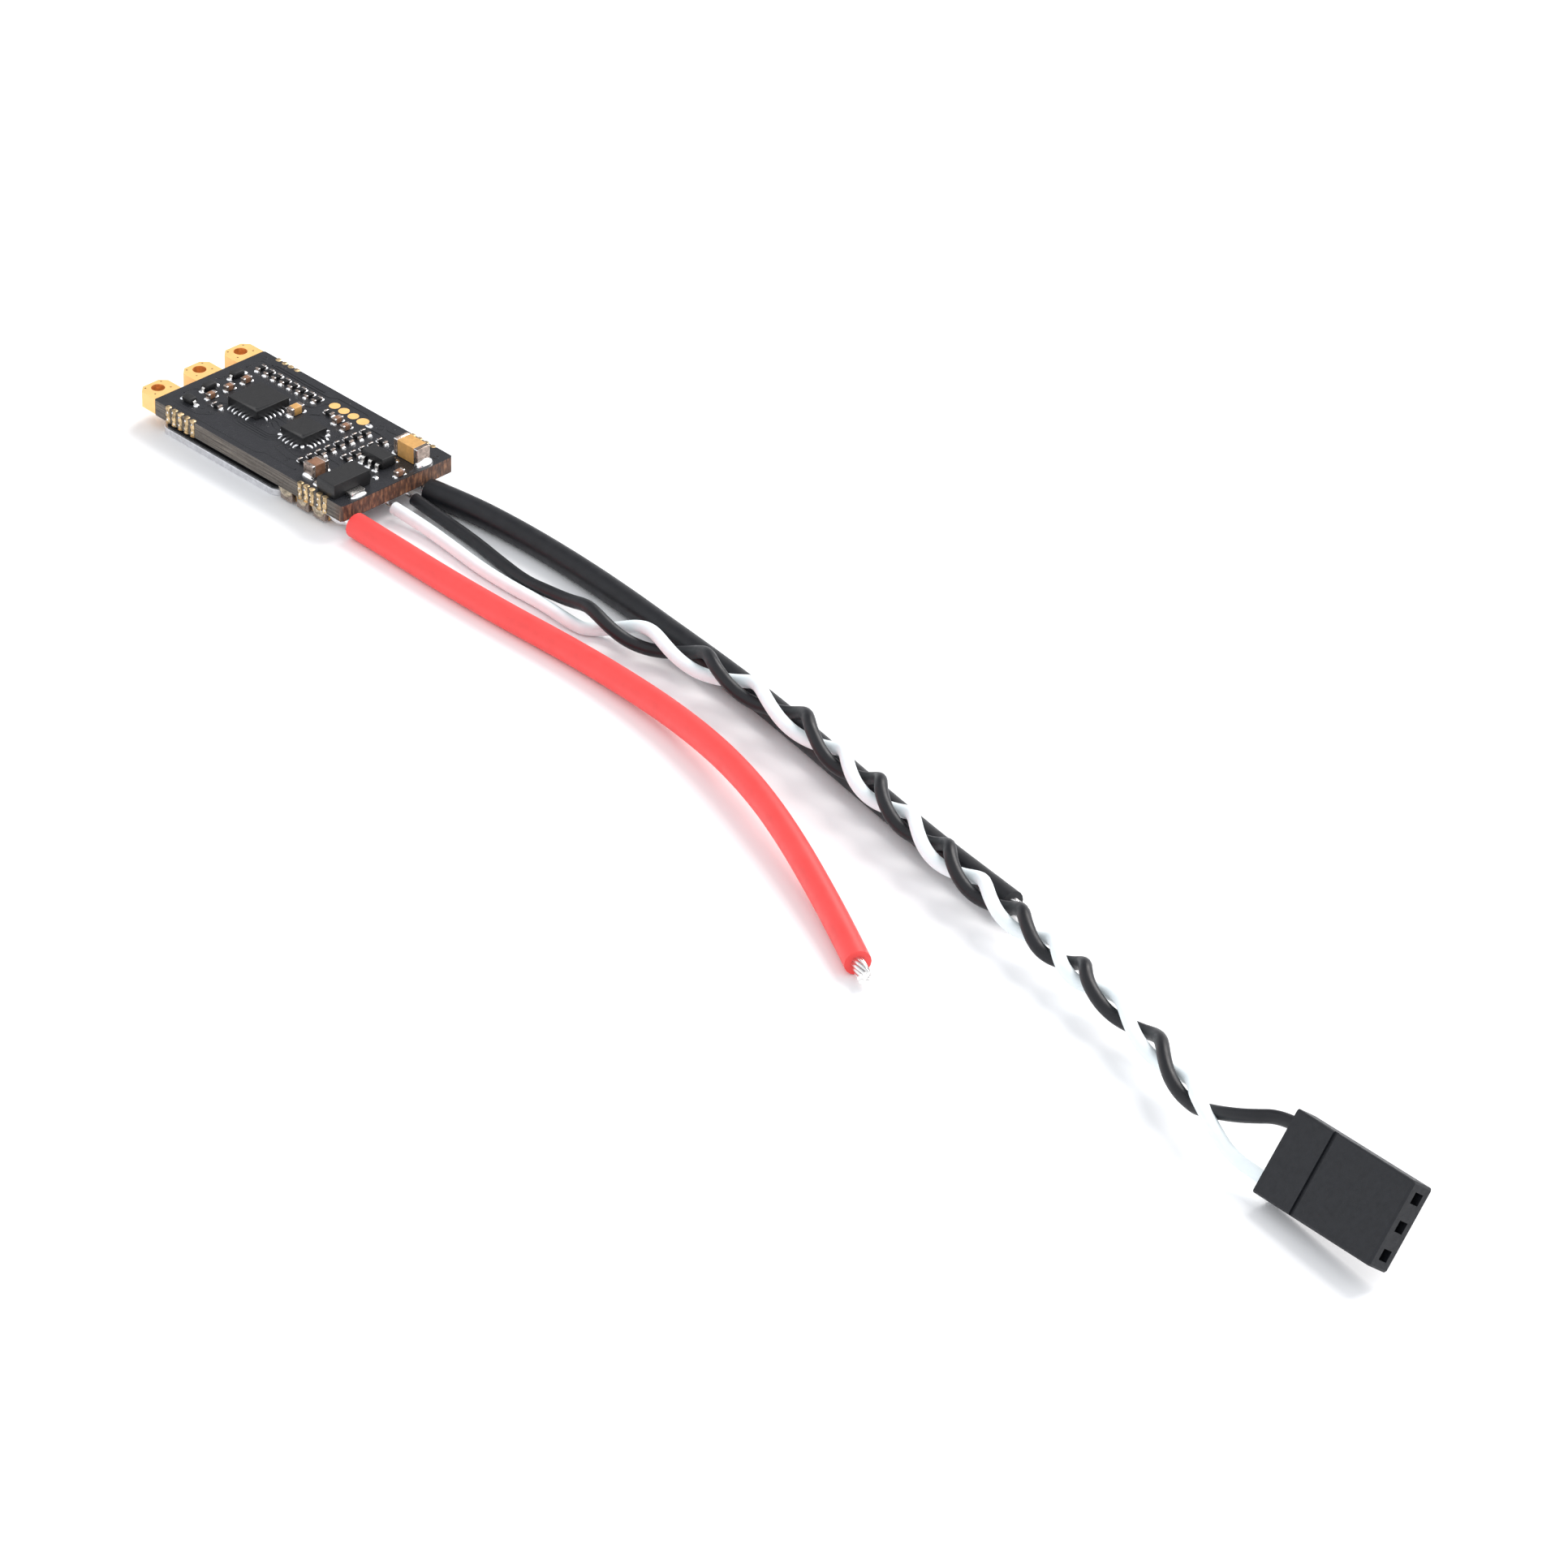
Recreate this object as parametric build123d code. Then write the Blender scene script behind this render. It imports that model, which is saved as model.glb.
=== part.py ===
from build123d import *
import math
import os

# Electronic speed controller for a small brushless motor: a multi-layer board with three plated
# phase tabs, driver chips on top, power transistors and a heat-sink plate below, two silicone
# power leads, and a twisted signal pair that ends in a three-way socket.
#
# Frame: +X runs along the board from the phase tabs to the power end, +Y across it, +Z up.
# The origin is under the middle of the bare board assembly, on the surface that it rests on.
# All lengths are millimetres.

os.makedirs("parts", exist_ok=True)

# ---------------------------------------------------------------- driving dimensions
BOARD_LENGTH = 26.2
BOARD_WIDTH = 13.5
BOARD_THICKNESS = 1.6
BOARD_CORNER_RADIUS = 0.3
MASK = 0.03                    # solder mask and copper foil thickness

TAB_REACH = 2.5                # phase tabs, past the end of the board
TAB_WIDTH = 3.2
TAB_PITCH = 5.04
TAB_CHAMFER = 0.65
TAB_HOLE_RADIUS = 0.66
TAB_HOLE_OUT = 1.42            # hole centre, past the end of the board
PLATING = 0.05
TAB_BARREL = 0.25              # wall of the plated barrel in each tab's hole
VIA_RADIUS = 0.1
VIA_ALONG = 0.7                # small vias, from the hole's centre
VIA_ACROSS = 0.95

PLATE_THICKNESS = 0.7          # heat-sink plate
PLATE_START = 0.45
PLATE_END = 16.9
PLATE_INSET = 0.28
PLATE_CORNER_RADIUS = 1.0
PAD_THICKNESS = 0.2            # thermal pad
MOSFET_SIZE = 3.3
MOSFET_HEIGHT = 0.8

BOARD_BOTTOM = PLATE_THICKNESS + PAD_THICKNESS + MOSFET_HEIGHT
BOARD_TOP = BOARD_BOTTOM + BOARD_THICKNESS
MOTOR_END = (TAB_REACH - BOARD_LENGTH) / 2
POWER_END = MOTOR_END + BOARD_LENGTH
NEAR_EDGE = -BOARD_WIDTH / 2

POWER_LEAD_OD = 2.4            # 18 AWG silicone
POWER_CORE_RADIUS = 0.5
TIP_RADIUS = 0.75              # tinned strands past the free end
POSITIVE_TIP_LENGTH = 2.6
NEGATIVE_TIP_LENGTH = 2.2
SIGNAL_WIRE_OD = 1.2           # 28 AWG silicone
SIGNAL_CORE_RADIUS = 0.22
TWIST_OD = 2.7

PAD_MARGIN = 0.25              # lead pads, back from the end of the board
POWER_PAD = (2.7, 2.5)
SIGNAL_PAD = (2.1, 1.6)
JOINT_SIZE = (2.5, 2.1, 1.2)   # solder on a pad
SIGNAL_JOINT_SIZE = (1.9, 1.3, 0.85)

PLUG_LENGTH = 14.1             # three-way socket housing, 2.54 mm pitch
PLUG_WIDTH = 7.65
PLUG_THICKNESS = 2.55
PLUG_PITCH = 2.54
PLUG_YAW = -7.1                # degrees about Z
PLUG_NOSE_UP = 4.5             # degrees about the plug's own width
PLUG_LEAN = 51.0               # degrees from lying flat
PLUG_AT = (140.7, -16.85)      # upper back corner of the housing

# ---------------------------------------------------------------- cord routes
POSITIVE_ROUTE = [
    (14.9, -5.6, 1.2), (20.0, -5.75, 1.2), (27.0, -6.05, 1.2), (35.0, -6.1, 1.2),
    (43.0, -5.9, 1.25), (51.0, -6.2, 1.45), (59.0, -7.2, 1.85), (66.5, -8.95, 2.3),
    (73.5, -11.25, 2.45), (80.0, -13.9, 2.2), (86.5, -16.9, 1.75), (92.0, -19.6, 1.35),
    (95.8, -21.65, 1.2),
]
NEGATIVE_ROUTE = [
    (14.9, 3.35, 1.2), (19.5, 4.15, 1.2), (26.0, 4.4, 1.2), (33.0, 4.2, 1.2),
    (40.0, 3.65, 1.2), (47.0, 2.8, 1.2), (54.0, 1.98, 1.2), (61.0, 0.98, 1.2),
    (68.0, -0.35, 1.2), (75.0, -1.8, 1.2), (82.0, -3.22, 1.2), (89.0, -4.5, 1.2),
    (94.0, -5.22, 1.2), (98.3, -5.85, 1.2),
]
PAIR_ROUTE = [
    (40.5, -1.65, 1.6), (46.0, -0.5, 1.9), (52.0, -0.35, 2.45), (58.5, -0.75, 3.0),
    (65.0, -1.45, 3.4), (71.5, -2.65, 3.6), (78.0, -4.1, 3.5), (84.5, -5.55, 3.3),
    (91.0, -7.0, 2.95), (97.5, -8.25, 2.75), (104.0, -9.45, 2.8), (110.5, -10.7, 2.75),
    (116.5, -12.1, 2.65), (122.0, -13.8, 2.75), (127.0, -16.0, 3.05), (131.6, -18.1, 3.4),
]
WHITE_ROUTE = [
    (14.9, -0.95, 1.15), (18.7, -0.8, 0.85), (23.0, -1.15, 0.68), (27.4, -1.7, 0.64),
    (31.6, -1.85, 0.64), (35.4, -1.75, 0.68), (38.2, -2.05, 0.8), (40.35, -2.35, 0.95),
]
BLACK_ROUTE = [
    (15.0, 1.45, 1.15), (19.0, 1.25, 0.9), (23.5, 0.95, 0.75), (28.0, 0.2, 0.72),
    (32.0, -0.5, 0.85), (35.6, -0.72, 1.4), (38.2, -0.85, 1.8), (40.1, -1.0, 2.2),
]
WHITE_TAIL_ROUTE = [(131.6, -18.65, 4.1), (134.2, -19.35, 3.15), (136.6, -20.0, 2.3)]
BLACK_TAIL_ROUTE = [(132.25, -17.8, 2.75), (133.9, -18.05, 4.0), (136.3, -17.75, 4.85)]


# ---------------------------------------------------------------- placing helpers
def on_board(along, across, height=0.0):
    """A point by its distance from the motor end, from the near edge, and above the top face."""
    return (MOTOR_END + along, NEAR_EDGE + across, BOARD_TOP + height)


def block(centre, size, base=True):
    """A box by its centre in X and Y and its lowest (or, without base, highest) Z."""
    x, y, z = centre
    dx, dy, dz = size
    middle = z + dz / 2 if base else z - dz / 2
    return Pos(x, y, middle) * Box(dx, dy, dz)


def turned(centre, quarter_turns, shape):
    """shape, drawn about the origin, turned about Z in quarter turns and moved to centre."""
    return Pos(*centre) * (Rot(0, 0, 90 * quarter_turns) * shape)


def write(name, *solids):
    """Export the solids as one node."""
    flat = []
    for item in solids:
        flat.extend(item.solids())
    export_step(Compound(children=flat), f"parts/{name}.step")
    print(f"{name}: {len(flat)} solids")


# ---------------------------------------------------------------- the board
CASTELLATIONS_NEAR = [1.97 + 0.86 * i for i in range(5)] + [20.4, 21.2, 22.0, 23.0, 23.8]
CASTELLATIONS_FAR = [2.2 + 0.86 * i for i in range(4)] + [20.9, 21.8, 22.7, 23.6]
CASTELLATION_OUTER = 0.30
CASTELLATION_INNER = 0.20
CASTELLATION_PAD = 0.42
TEST_PADS = [(12.08, 11.6, 0.54), (13.36, 11.6, 0.54), (14.66, 11.6, 0.54), (15.98, 11.6, 0.6)]
TAB_CENTRES = [BOARD_WIDTH / 2 + TAB_PITCH * (i - 1) for i in range(3)]


def castellation_points():
    near = [on_board(along, 0) for along in CASTELLATIONS_NEAR]
    far = [on_board(along, BOARD_WIDTH) for along in CASTELLATIONS_FAR]
    return near + far


def columns(points, radius, low, high):
    """Upright cylinders of one radius at the given points."""
    height = high - low
    return [Pos(x, y, low + height / 2) * Cylinder(radius, height) for x, y, _ in points]


def board_slab(low, high):
    outline = RectangleRounded(BOARD_LENGTH, BOARD_WIDTH, BOARD_CORNER_RADIUS)
    middle = MOTOR_END + BOARD_LENGTH / 2
    return Pos(middle, 0, low) * extrude(outline, high - low)


def tab_outline(inset, root):
    """Plan of one phase tab about its hole's row, from its chamfered tip to root."""
    tip = MOTOR_END - TAB_REACH + inset
    half = TAB_WIDTH / 2 - inset
    cut = TAB_CHAMFER - inset * (2 - math.sqrt(2))
    plan = [
        (root, -half), (tip + cut, -half), (tip, -half + cut),
        (tip, half - cut), (tip + cut, half), (root, half),
    ]
    return make_face(Polyline(*plan, close=True))


def tab_core(across):
    y = NEAR_EDGE + across
    low, high = BOARD_BOTTOM + PLATING, BOARD_TOP - PLATING
    core = Pos(0, y, low) * extrude(tab_outline(PLATING, MOTOR_END + 0.5), high - low)
    hole_at = [(MOTOR_END - TAB_HOLE_OUT, y, 0)]
    return core - columns(hole_at, TAB_HOLE_RADIUS + TAB_BARREL, low - 1, high + 1)


def phase_tab(across):
    """Gold plating all round one tab, with its plated hole and small vias."""
    y = NEAR_EDGE + across
    x = MOTOR_END - TAB_HOLE_OUT
    shell = Pos(0, y, BOARD_BOTTOM) * extrude(tab_outline(0, MOTOR_END), BOARD_THICKNESS)
    shell = shell - tab_core(across)
    shell = shell - columns([(x, y, 0)], TAB_HOLE_RADIUS, BOARD_BOTTOM - 1, BOARD_TOP + 1)
    vias = [(x + VIA_ALONG * i, y + VIA_ACROSS * j, 0) for i in (-1, 1) for j in (-1, 1)]
    shell = shell - columns(vias, VIA_RADIUS, BOARD_TOP - PLATING, BOARD_TOP + 1)
    return shell - columns(vias, VIA_RADIUS, BOARD_BOTTOM - 1, BOARD_BOTTOM + PLATING)


def lead_pads():
    """Bare copper pads under the power end, one for each lead and wire."""
    places = [
        (POSITIVE_ROUTE, POWER_PAD), (NEGATIVE_ROUTE, POWER_PAD),
        (WHITE_ROUTE, SIGNAL_PAD), (BLACK_ROUTE, SIGNAL_PAD),
    ]
    pads = []
    for route, (length, width) in places:
        x = POWER_END - PAD_MARGIN + 0.1 - length / 2
        pads.append(block((x, route[0][1], BOARD_BOTTOM), (length, width, MASK)))
    return pads


def make_board():
    low, high = BOARD_BOTTOM + MASK, BOARD_TOP - MASK
    notches = columns(castellation_points(), CASTELLATION_OUTER, BOARD_BOTTOM - 1, BOARD_TOP + 1)
    laminate = board_slab(low, high)
    for across in TAB_CENTRES:
        laminate = laminate + tab_core(across)
    write("board_laminate", laminate - notches)

    pads = columns(castellation_points(), CASTELLATION_PAD, BOARD_BOTTOM - 1, BOARD_TOP + 1)
    windows = [
        Pos(*on_board(along, across, -MASK)) * Cylinder(radius, 1)
        for along, across, radius in TEST_PADS
    ]
    lands = lead_pads()
    write("solder_mask_top", board_slab(high, BOARD_TOP) - pads - windows)
    write("solder_mask_bottom", board_slab(BOARD_BOTTOM, low) - pads - lands)
    write("lead_pads", *lands)

    discs = [
        Pos(*on_board(along, across, -MASK / 2)) * Cylinder(radius, MASK)
        for along, across, radius in TEST_PADS
    ]
    write("test_pads", *discs)

    body = board_slab(BOARD_BOTTOM, BOARD_TOP)
    bores = columns(castellation_points(), CASTELLATION_INNER, BOARD_BOTTOM - 1, BOARD_TOP + 1)
    barrels = columns(castellation_points(), CASTELLATION_OUTER, low, high)
    rings_top = columns(castellation_points(), CASTELLATION_PAD, high, BOARD_TOP)
    rings_bottom = columns(castellation_points(), CASTELLATION_PAD, BOARD_BOTTOM, low)
    sleeves = []
    for barrel, top, bottom, bore in zip(barrels, rings_top, rings_bottom, bores):
        sleeves.append(((barrel + top + bottom) & body) - bore)
    write("edge_castellations", *sleeves)

    for letter, across in zip("abc", TAB_CENTRES):
        write(f"phase_tab_{letter}", phase_tab(across))


# ---------------------------------------------------------------- chips with side pads
def fillet_wedge(width, reach, height):
    """Solder meniscus: a three-sided prism that falls away along +X from the origin."""
    side = make_face(Polyline((0, 0), (reach, 0), (0, height), close=True))
    return Pos(0, width / 2, 0) * extrude(Plane.XZ * side, width)


QFN_HEIGHT = 0.85
QFN_STANDOFF = 0.05
QFN_PAD_PITCH = 0.5
QFN_PAD_WIDTH = 0.26
QFN_PAD_REACH = 0.34
QFN_PAD_RISE = 0.3
QFN_EDGE_CHAMFER = 0.03
PIN_MARK_RADIUS = 0.17
PIN_MARK_INSET = 0.35
PIN_MARK_DEPTH = 0.02
GROUND_PAD_SHARE = 0.6         # middle pad, as a share of the chip's side
GATE_DRIVER = (7.25, 6.5, 4.0, 6)      # along, across, size, pads a side
MICROCONTROLLER = (14.2, 5.95, 3.0, 5)


def qfn(name, along, across, size, pads):
    """A square leadless chip, and the solder round its edge pads."""
    x, y, z = on_board(along, across)
    body = block((x, y, z + QFN_STANDOFF), (size, size, QFN_HEIGHT))
    body = chamfer(body.faces().sort_by(Axis.Z)[-1].edges(), QFN_EDGE_CHAMFER)
    corner = size / 2 - PIN_MARK_INSET
    mark = (x + corner, y - corner, z + QFN_STANDOFF + QFN_HEIGHT)
    body = body - Pos(*mark) * Cylinder(PIN_MARK_RADIUS, 2 * PIN_MARK_DEPTH)
    ground = size * GROUND_PAD_SHARE
    solder = [block((x, y, z), (ground, ground, QFN_STANDOFF))]
    for side in range(4):
        for i in range(pads):
            step = (i - (pads - 1) / 2) * QFN_PAD_PITCH
            wedge = Pos(size / 2, step, 0) * fillet_wedge(QFN_PAD_WIDTH, QFN_PAD_REACH, QFN_PAD_RISE)
            solder.append(turned((x, y, z), side, wedge))
    write(name, body)
    write(f"{name}_solder", *solder)


# ---------------------------------------------------------------- two-terminal parts
CHIP_CAP_STANDOFF = 0.03


def two_terminal(centre, quarter_turns, size, terminal, reach, down=False):
    """A chip resistor or capacitor along X: (middle, two end caps, two solder menisci).

    size is (length, width, height); terminal is the end caps' length; down hangs it under a face.
    """
    length, width, height = size
    flip = Rot(180, 0, 0) if down else Rot(0, 0, 0)
    lift = CHIP_CAP_STANDOFF

    def place(shape):
        return turned(centre, quarter_turns, flip * shape)

    middle = block((0, 0, lift), (length - 2 * terminal, width, height))
    caps = []
    solder = []
    for way in (-1, 1):
        x = way * (length - terminal) / 2
        cap = block((x, 0, lift), (terminal, width, height))
        outer = cap.faces().sort_by(Axis.X)[-1 if way > 0 else 0]
        cap = fillet(outer.edges(), min(0.08, height * 0.15))
        caps.append(place(cap))
        wedge = Pos(length / 2, 0, 0) * fillet_wedge(width * 1.05, reach, height * 0.6 + lift)
        solder.append(place(wedge if way > 0 else Rot(0, 0, 180) * wedge))
    return place(middle), caps, solder


SIZE_0402_RESISTOR = (1.0, 0.5, 0.33)
SIZE_0402_CAPACITOR = (1.05, 0.55, 0.55)
SIZE_0603_CAPACITOR = (1.6, 0.8, 0.8)
SIZE_0805_CAPACITOR = (2.0, 1.25, 1.25)
SIZE_1206_CAPACITOR = (3.2, 1.6, 1.7)
SIZE_BOTTOM_CAPACITOR = (3.2, 1.6, 1.5)

RESISTOR_ROW = [(2.5 + 1.125 * i, 10.92, 1) for i in range(8)]
RESISTOR_BANK_A = [(17.9, y, 0) for y in (2.6, 3.7, 4.8, 5.9, 7.05, 8.15, 9.2, 10.25)]
RESISTOR_BANK_B = [(20.15, y, 0) for y in (5.95, 7.05, 8.15, 9.2, 10.3)]
RESISTOR_SINGLES = [(5.0, 3.4, 0), (12.95, 10.15, 0)]
BOOTSTRAP_CAPACITORS = [(3.3, 4.15, 1), (3.3, 6.35, 1), (3.3, 8.45, 1)]
FILTER_CAPACITORS = [(14.5, 9.8, 1), (16.0, 9.5, 1), (25.45, 7.6, 1)]


def make_passives():
    bodies, terminals, solder = [], [], []
    for along, across, turn in RESISTOR_ROW + RESISTOR_BANK_A + RESISTOR_BANK_B + RESISTOR_SINGLES:
        part = two_terminal(on_board(along, across), turn, SIZE_0402_RESISTOR, 0.22, 0.2)
        bodies.append(part[0])
        terminals.extend(part[1])
        solder.extend(part[2])
    write("chip_resistors", *bodies)
    write("chip_resistor_terminals", *terminals)
    write("chip_resistor_solder", *solder)

    groups = [
        ("bootstrap_capacitors", BOOTSTRAP_CAPACITORS, SIZE_0402_CAPACITOR, 0.25, 0.2),
        ("filter_capacitors", FILTER_CAPACITORS, SIZE_0402_CAPACITOR, 0.25, 0.2),
        ("driver_supply_capacitor", [(10.7, 8.0, 1)], SIZE_0603_CAPACITOR, 0.35, 0.25),
        ("regulator_capacitor", [(20.1, 2.25, 1)], SIZE_0805_CAPACITOR, 0.4, 0.3),
        ("input_capacitor", [(23.85, 10.6, 0)], SIZE_1206_CAPACITOR, 0.5, 0.35),
    ]
    terminals, solder = [], []
    for name, places, size, terminal, reach in groups:
        middles = []
        for along, across, turn in places:
            part = two_terminal(on_board(along, across), turn, size, terminal, reach)
            middles.append(part[0])
            terminals.extend(part[1])
            solder.extend(part[2])
        write(name, *middles)
    write("capacitor_terminals", *terminals)
    write("capacitor_solder", *solder)


# ---------------------------------------------------------------- leaded parts on top
def gull_lead(width, rise, thickness, shoulder, foot):
    """A bent lead that leaves a body at the origin along +X, drops by rise, and runs out as a foot."""
    t = thickness
    profile = [
        (0, rise), (shoulder, rise), (shoulder + t, rise - t), (shoulder + t, t),
        (shoulder + foot, t), (shoulder + foot, 0), (shoulder, 0), (shoulder, rise - t), (0, rise - t),
    ]
    side = make_face(Polyline(*profile, close=True))
    return Pos(0, width / 2, 0) * extrude(Plane.XZ * side, width)


MOULD_DRAFT = 0.08


def moulded_body(size, standoff):
    """A moulded package with drafted sides: widest at its middle."""
    length, width, height = size
    narrow = Rectangle(length - 2 * MOULD_DRAFT, width - 2 * MOULD_DRAFT)
    waist = Pos(0, 0, standoff + height / 2) * Rectangle(length, width)
    lower = loft([Pos(0, 0, standoff) * narrow, waist])
    upper = loft([waist, Pos(0, 0, standoff + height) * narrow])
    return lower + upper


REGULATOR_AT = (23.6, 2.5)
REGULATOR_SIZE = (2.5, 4.5, 1.45)
REGULATOR_STANDOFF = 0.02
REGULATOR_LEAD_PITCH = 1.5
REGULATOR_LEAD = (0.8, 0.45, 0.38)
REGULATOR_TAB = (0.8, 1.7, 0.38)
REGULATOR_TAB_CORNER = 0.2
LOGIC_AT = (22.4, 7.8)
LOGIC_SIZE = (2.9, 1.6, 1.0)
LOGIC_STANDOFF = 0.08
LOGIC_LEAD_PITCH = 0.95
LOGIC_LEAD = (0.4, 0.62, 0.14, 0.2, 0.4)       # width, rise, thickness, shoulder, foot
BOOTSTRAP_DIODES = [(2.55, 2.15, 0), (1.9, 5.1, 1), (1.9, 8.5, 1)]
DIODE_SIZE = (1.25, 0.85, 0.6)
DIODE_STANDOFF = 0.03
DIODE_LEAD = (0.35, 0.4, 0.12, 0.06, 0.34)
TINNED_PAD_AT = (24.35, 5.7)
TINNED_PAD_SIZE = (0.9, 0.75, 0.12)
TINNED_PAD_CORNER = 0.15


def make_leaded_parts():
    centre = on_board(*REGULATOR_AT)
    out = (REGULATOR_SIZE[0] + REGULATOR_LEAD[0]) / 2
    write("voltage_regulator", Pos(*centre) * moulded_body(REGULATOR_SIZE, REGULATOR_STANDOFF))
    leads = []
    for i in range(3):
        y = centre[1] + (i - 1) * REGULATOR_LEAD_PITCH
        leads.append(block((centre[0] - out, y, centre[2]), REGULATOR_LEAD))
    tab = block((centre[0] + out, centre[1], centre[2]), REGULATOR_TAB)
    leads.append(fillet(tab.edges().filter_by(Axis.Z).group_by(Axis.X)[-1], REGULATOR_TAB_CORNER))
    write("voltage_regulator_leads", *leads)

    centre = on_board(*LOGIC_AT)
    write("logic_chip", Pos(*centre) * moulded_body(LOGIC_SIZE, LOGIC_STANDOFF))
    leads = []
    for way in (1, 3):
        for i in range(3):
            lead = Pos(LOGIC_SIZE[1] / 2, (i - 1) * LOGIC_LEAD_PITCH, 0) * gull_lead(*LOGIC_LEAD)
            leads.append(turned(centre, way, lead))
    write("logic_chip_leads", *leads)

    bodies, leads = [], []
    for along, across, turn in BOOTSTRAP_DIODES:
        centre = on_board(along, across)
        bodies.append(turned(centre, turn, moulded_body(DIODE_SIZE, DIODE_STANDOFF)))
        for way in (0, 2):
            lead = Pos(DIODE_SIZE[0] / 2, 0, 0) * gull_lead(*DIODE_LEAD)
            leads.append(turned(centre, turn + way, lead))
    write("bootstrap_diodes", *bodies)
    write("bootstrap_diode_leads", *leads)

    tinned = block(on_board(*TINNED_PAD_AT), TINNED_PAD_SIZE)
    write("tinned_pad", fillet(tinned.edges().filter_by(Axis.Z), TINNED_PAD_CORNER))


# ---------------------------------------------------------------- under the board
MOSFET_ROWS = (3.6, 9.9)
MOSFET_COLUMNS = (3.1, 8.65, 14.2)
MOSFET_LEADS_A_SIDE = 4
MOSFET_LEAD_PITCH = 0.65
MOSFET_LEAD = (0.3, 0.32, 0.22)
PLATE_CHAMFER = 0.06
PAD_INSET = 0.25               # thermal pad, in from the plate's edges
BOTTOM_CAPACITOR_COLUMNS = (17.95, 20.2, 22.45)
BOTTOM_CAPACITOR_ROWS = (2.05, 11.45)


def make_underside():
    length = PLATE_END - PLATE_START
    width = BOARD_WIDTH - 2 * PLATE_INSET
    middle = MOTOR_END + PLATE_START + length / 2
    outline = RectangleRounded(length, width, PLATE_CORNER_RADIUS)
    plate = extrude(outline, PLATE_THICKNESS)
    rims = plate.faces().sort_by(Axis.Z)
    plate = chamfer(rims[0].edges() + rims[-1].edges(), PLATE_CHAMFER)
    write("heat_sink_plate", Pos(middle, 0, 0) * plate)
    inset = 2 * PAD_INSET
    sheet = RectangleRounded(length - inset, width - inset, PLATE_CORNER_RADIUS - 0.2)
    write("thermal_pad", Pos(middle, 0, PLATE_THICKNESS) * extrude(sheet, PAD_THICKNESS))

    bodies, leads = [], []
    body_size = (MOSFET_SIZE - MOSFET_LEAD[0], MOSFET_SIZE, MOSFET_HEIGHT)
    for across in MOSFET_ROWS:
        for along in MOSFET_COLUMNS:
            x, y, _ = on_board(along, across)
            body = block((x, y, BOARD_BOTTOM), body_size, base=False)
            bodies.append(chamfer(body.edges().filter_by(Axis.Z), 0.05))
            for way in (-1, 1):
                for i in range(MOSFET_LEADS_A_SIDE):
                    step = (i - (MOSFET_LEADS_A_SIDE - 1) / 2) * MOSFET_LEAD_PITCH
                    centre = (x + way * MOSFET_SIZE / 2, y + step, BOARD_BOTTOM)
                    leads.append(block(centre, MOSFET_LEAD, base=False))
    write("power_transistors", *bodies)
    write("power_transistor_leads", *leads)

    middles, terminals, solder = [], [], []
    for across in BOTTOM_CAPACITOR_ROWS:
        for along in BOTTOM_CAPACITOR_COLUMNS:
            x, y, _ = on_board(along, across)
            part = two_terminal((x, y, BOARD_BOTTOM), 1, SIZE_BOTTOM_CAPACITOR, 0.5, 0.3, down=True)
            middles.append(part[0])
            terminals.extend(part[1])
            solder.extend(part[2])
    write("bottom_capacitors", *middles)
    write("bottom_capacitor_terminals", *terminals)
    write("bottom_capacitor_solder", *solder)


# ---------------------------------------------------------------- lead joints at the power end
CORE_BITE = 2.7                # stripped length, back from the end of the insulation
SIGNAL_CORE_BITE = 1.9


def stub(start, way, radius, length):
    """A straight round conductor from a point."""
    return Plane(origin=start, z_dir=way) * extrude(Circle(radius), length)


def joint(route, size, bite, core_radius):
    """(solder, conductor) where a lead's stripped end meets its pad under the board."""
    start = Vector(*route[0])
    core = stub(start, (start - Vector(*route[1])).normalized(), core_radius, bite)
    length, width, height = size
    centre = (POWER_END - PAD_MARGIN - length / 2, start.Y, BOARD_BOTTOM)
    solder = block(centre, size, base=False)
    solder = fillet(solder.edges().filter_by(Axis.Z), 0.45 * width / 2)
    solder = fillet(solder.faces().sort_by(Axis.Z)[0].edges(), 0.3)
    return solder - core, core


def make_joints():
    for name, route in (("positive", POSITIVE_ROUTE), ("negative", NEGATIVE_ROUTE)):
        solder, core = joint(route, JOINT_SIZE, CORE_BITE, POWER_CORE_RADIUS)
        write(f"{name}_solder_joint", solder)
        write(f"{name}_conductor", core)
    solders, cores = [], []
    for route in (WHITE_ROUTE, BLACK_ROUTE):
        solder, core = joint(route, SIGNAL_JOINT_SIZE, SIGNAL_CORE_BITE, SIGNAL_CORE_RADIUS)
        solders.append(solder)
        cores.append(core)
    write("signal_solder_joints", *solders)
    write("signal_conductors", *cores)


# ---------------------------------------------------------------- cords
def bend_radii(route):
    """The largest tangent arc that the two runs at each corner allow."""
    radii = []
    for before, corner, after in zip(route, route[1:], route[2:]):
        incoming = Vector(*corner) - Vector(*before)
        outgoing = Vector(*after) - Vector(*corner)
        half_turn = math.radians(incoming.get_angle(outgoing)) / 2
        radii.append(0.45 * min(incoming.length, outgoing.length) / math.tan(half_turn))
    return radii


def cord(name, route, diameter):
    """A round cord of straight runs and tangent arcs along its route."""
    radii = bend_radii(route)
    path = FilletPolyline(*route, radius=radii)
    tube = sweep(Plane(origin=path @ 0, z_dir=path % 0) * Circle(diameter / 2), path=path)
    expected = math.pi * diameter ** 2 / 4 * path.length
    print(f"{name}: length {path.length:.1f}, smallest radius {min(radii):.1f}, "
          f"volume {tube.volume:.1f} of {expected:.1f}")
    write(name, tube)


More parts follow.
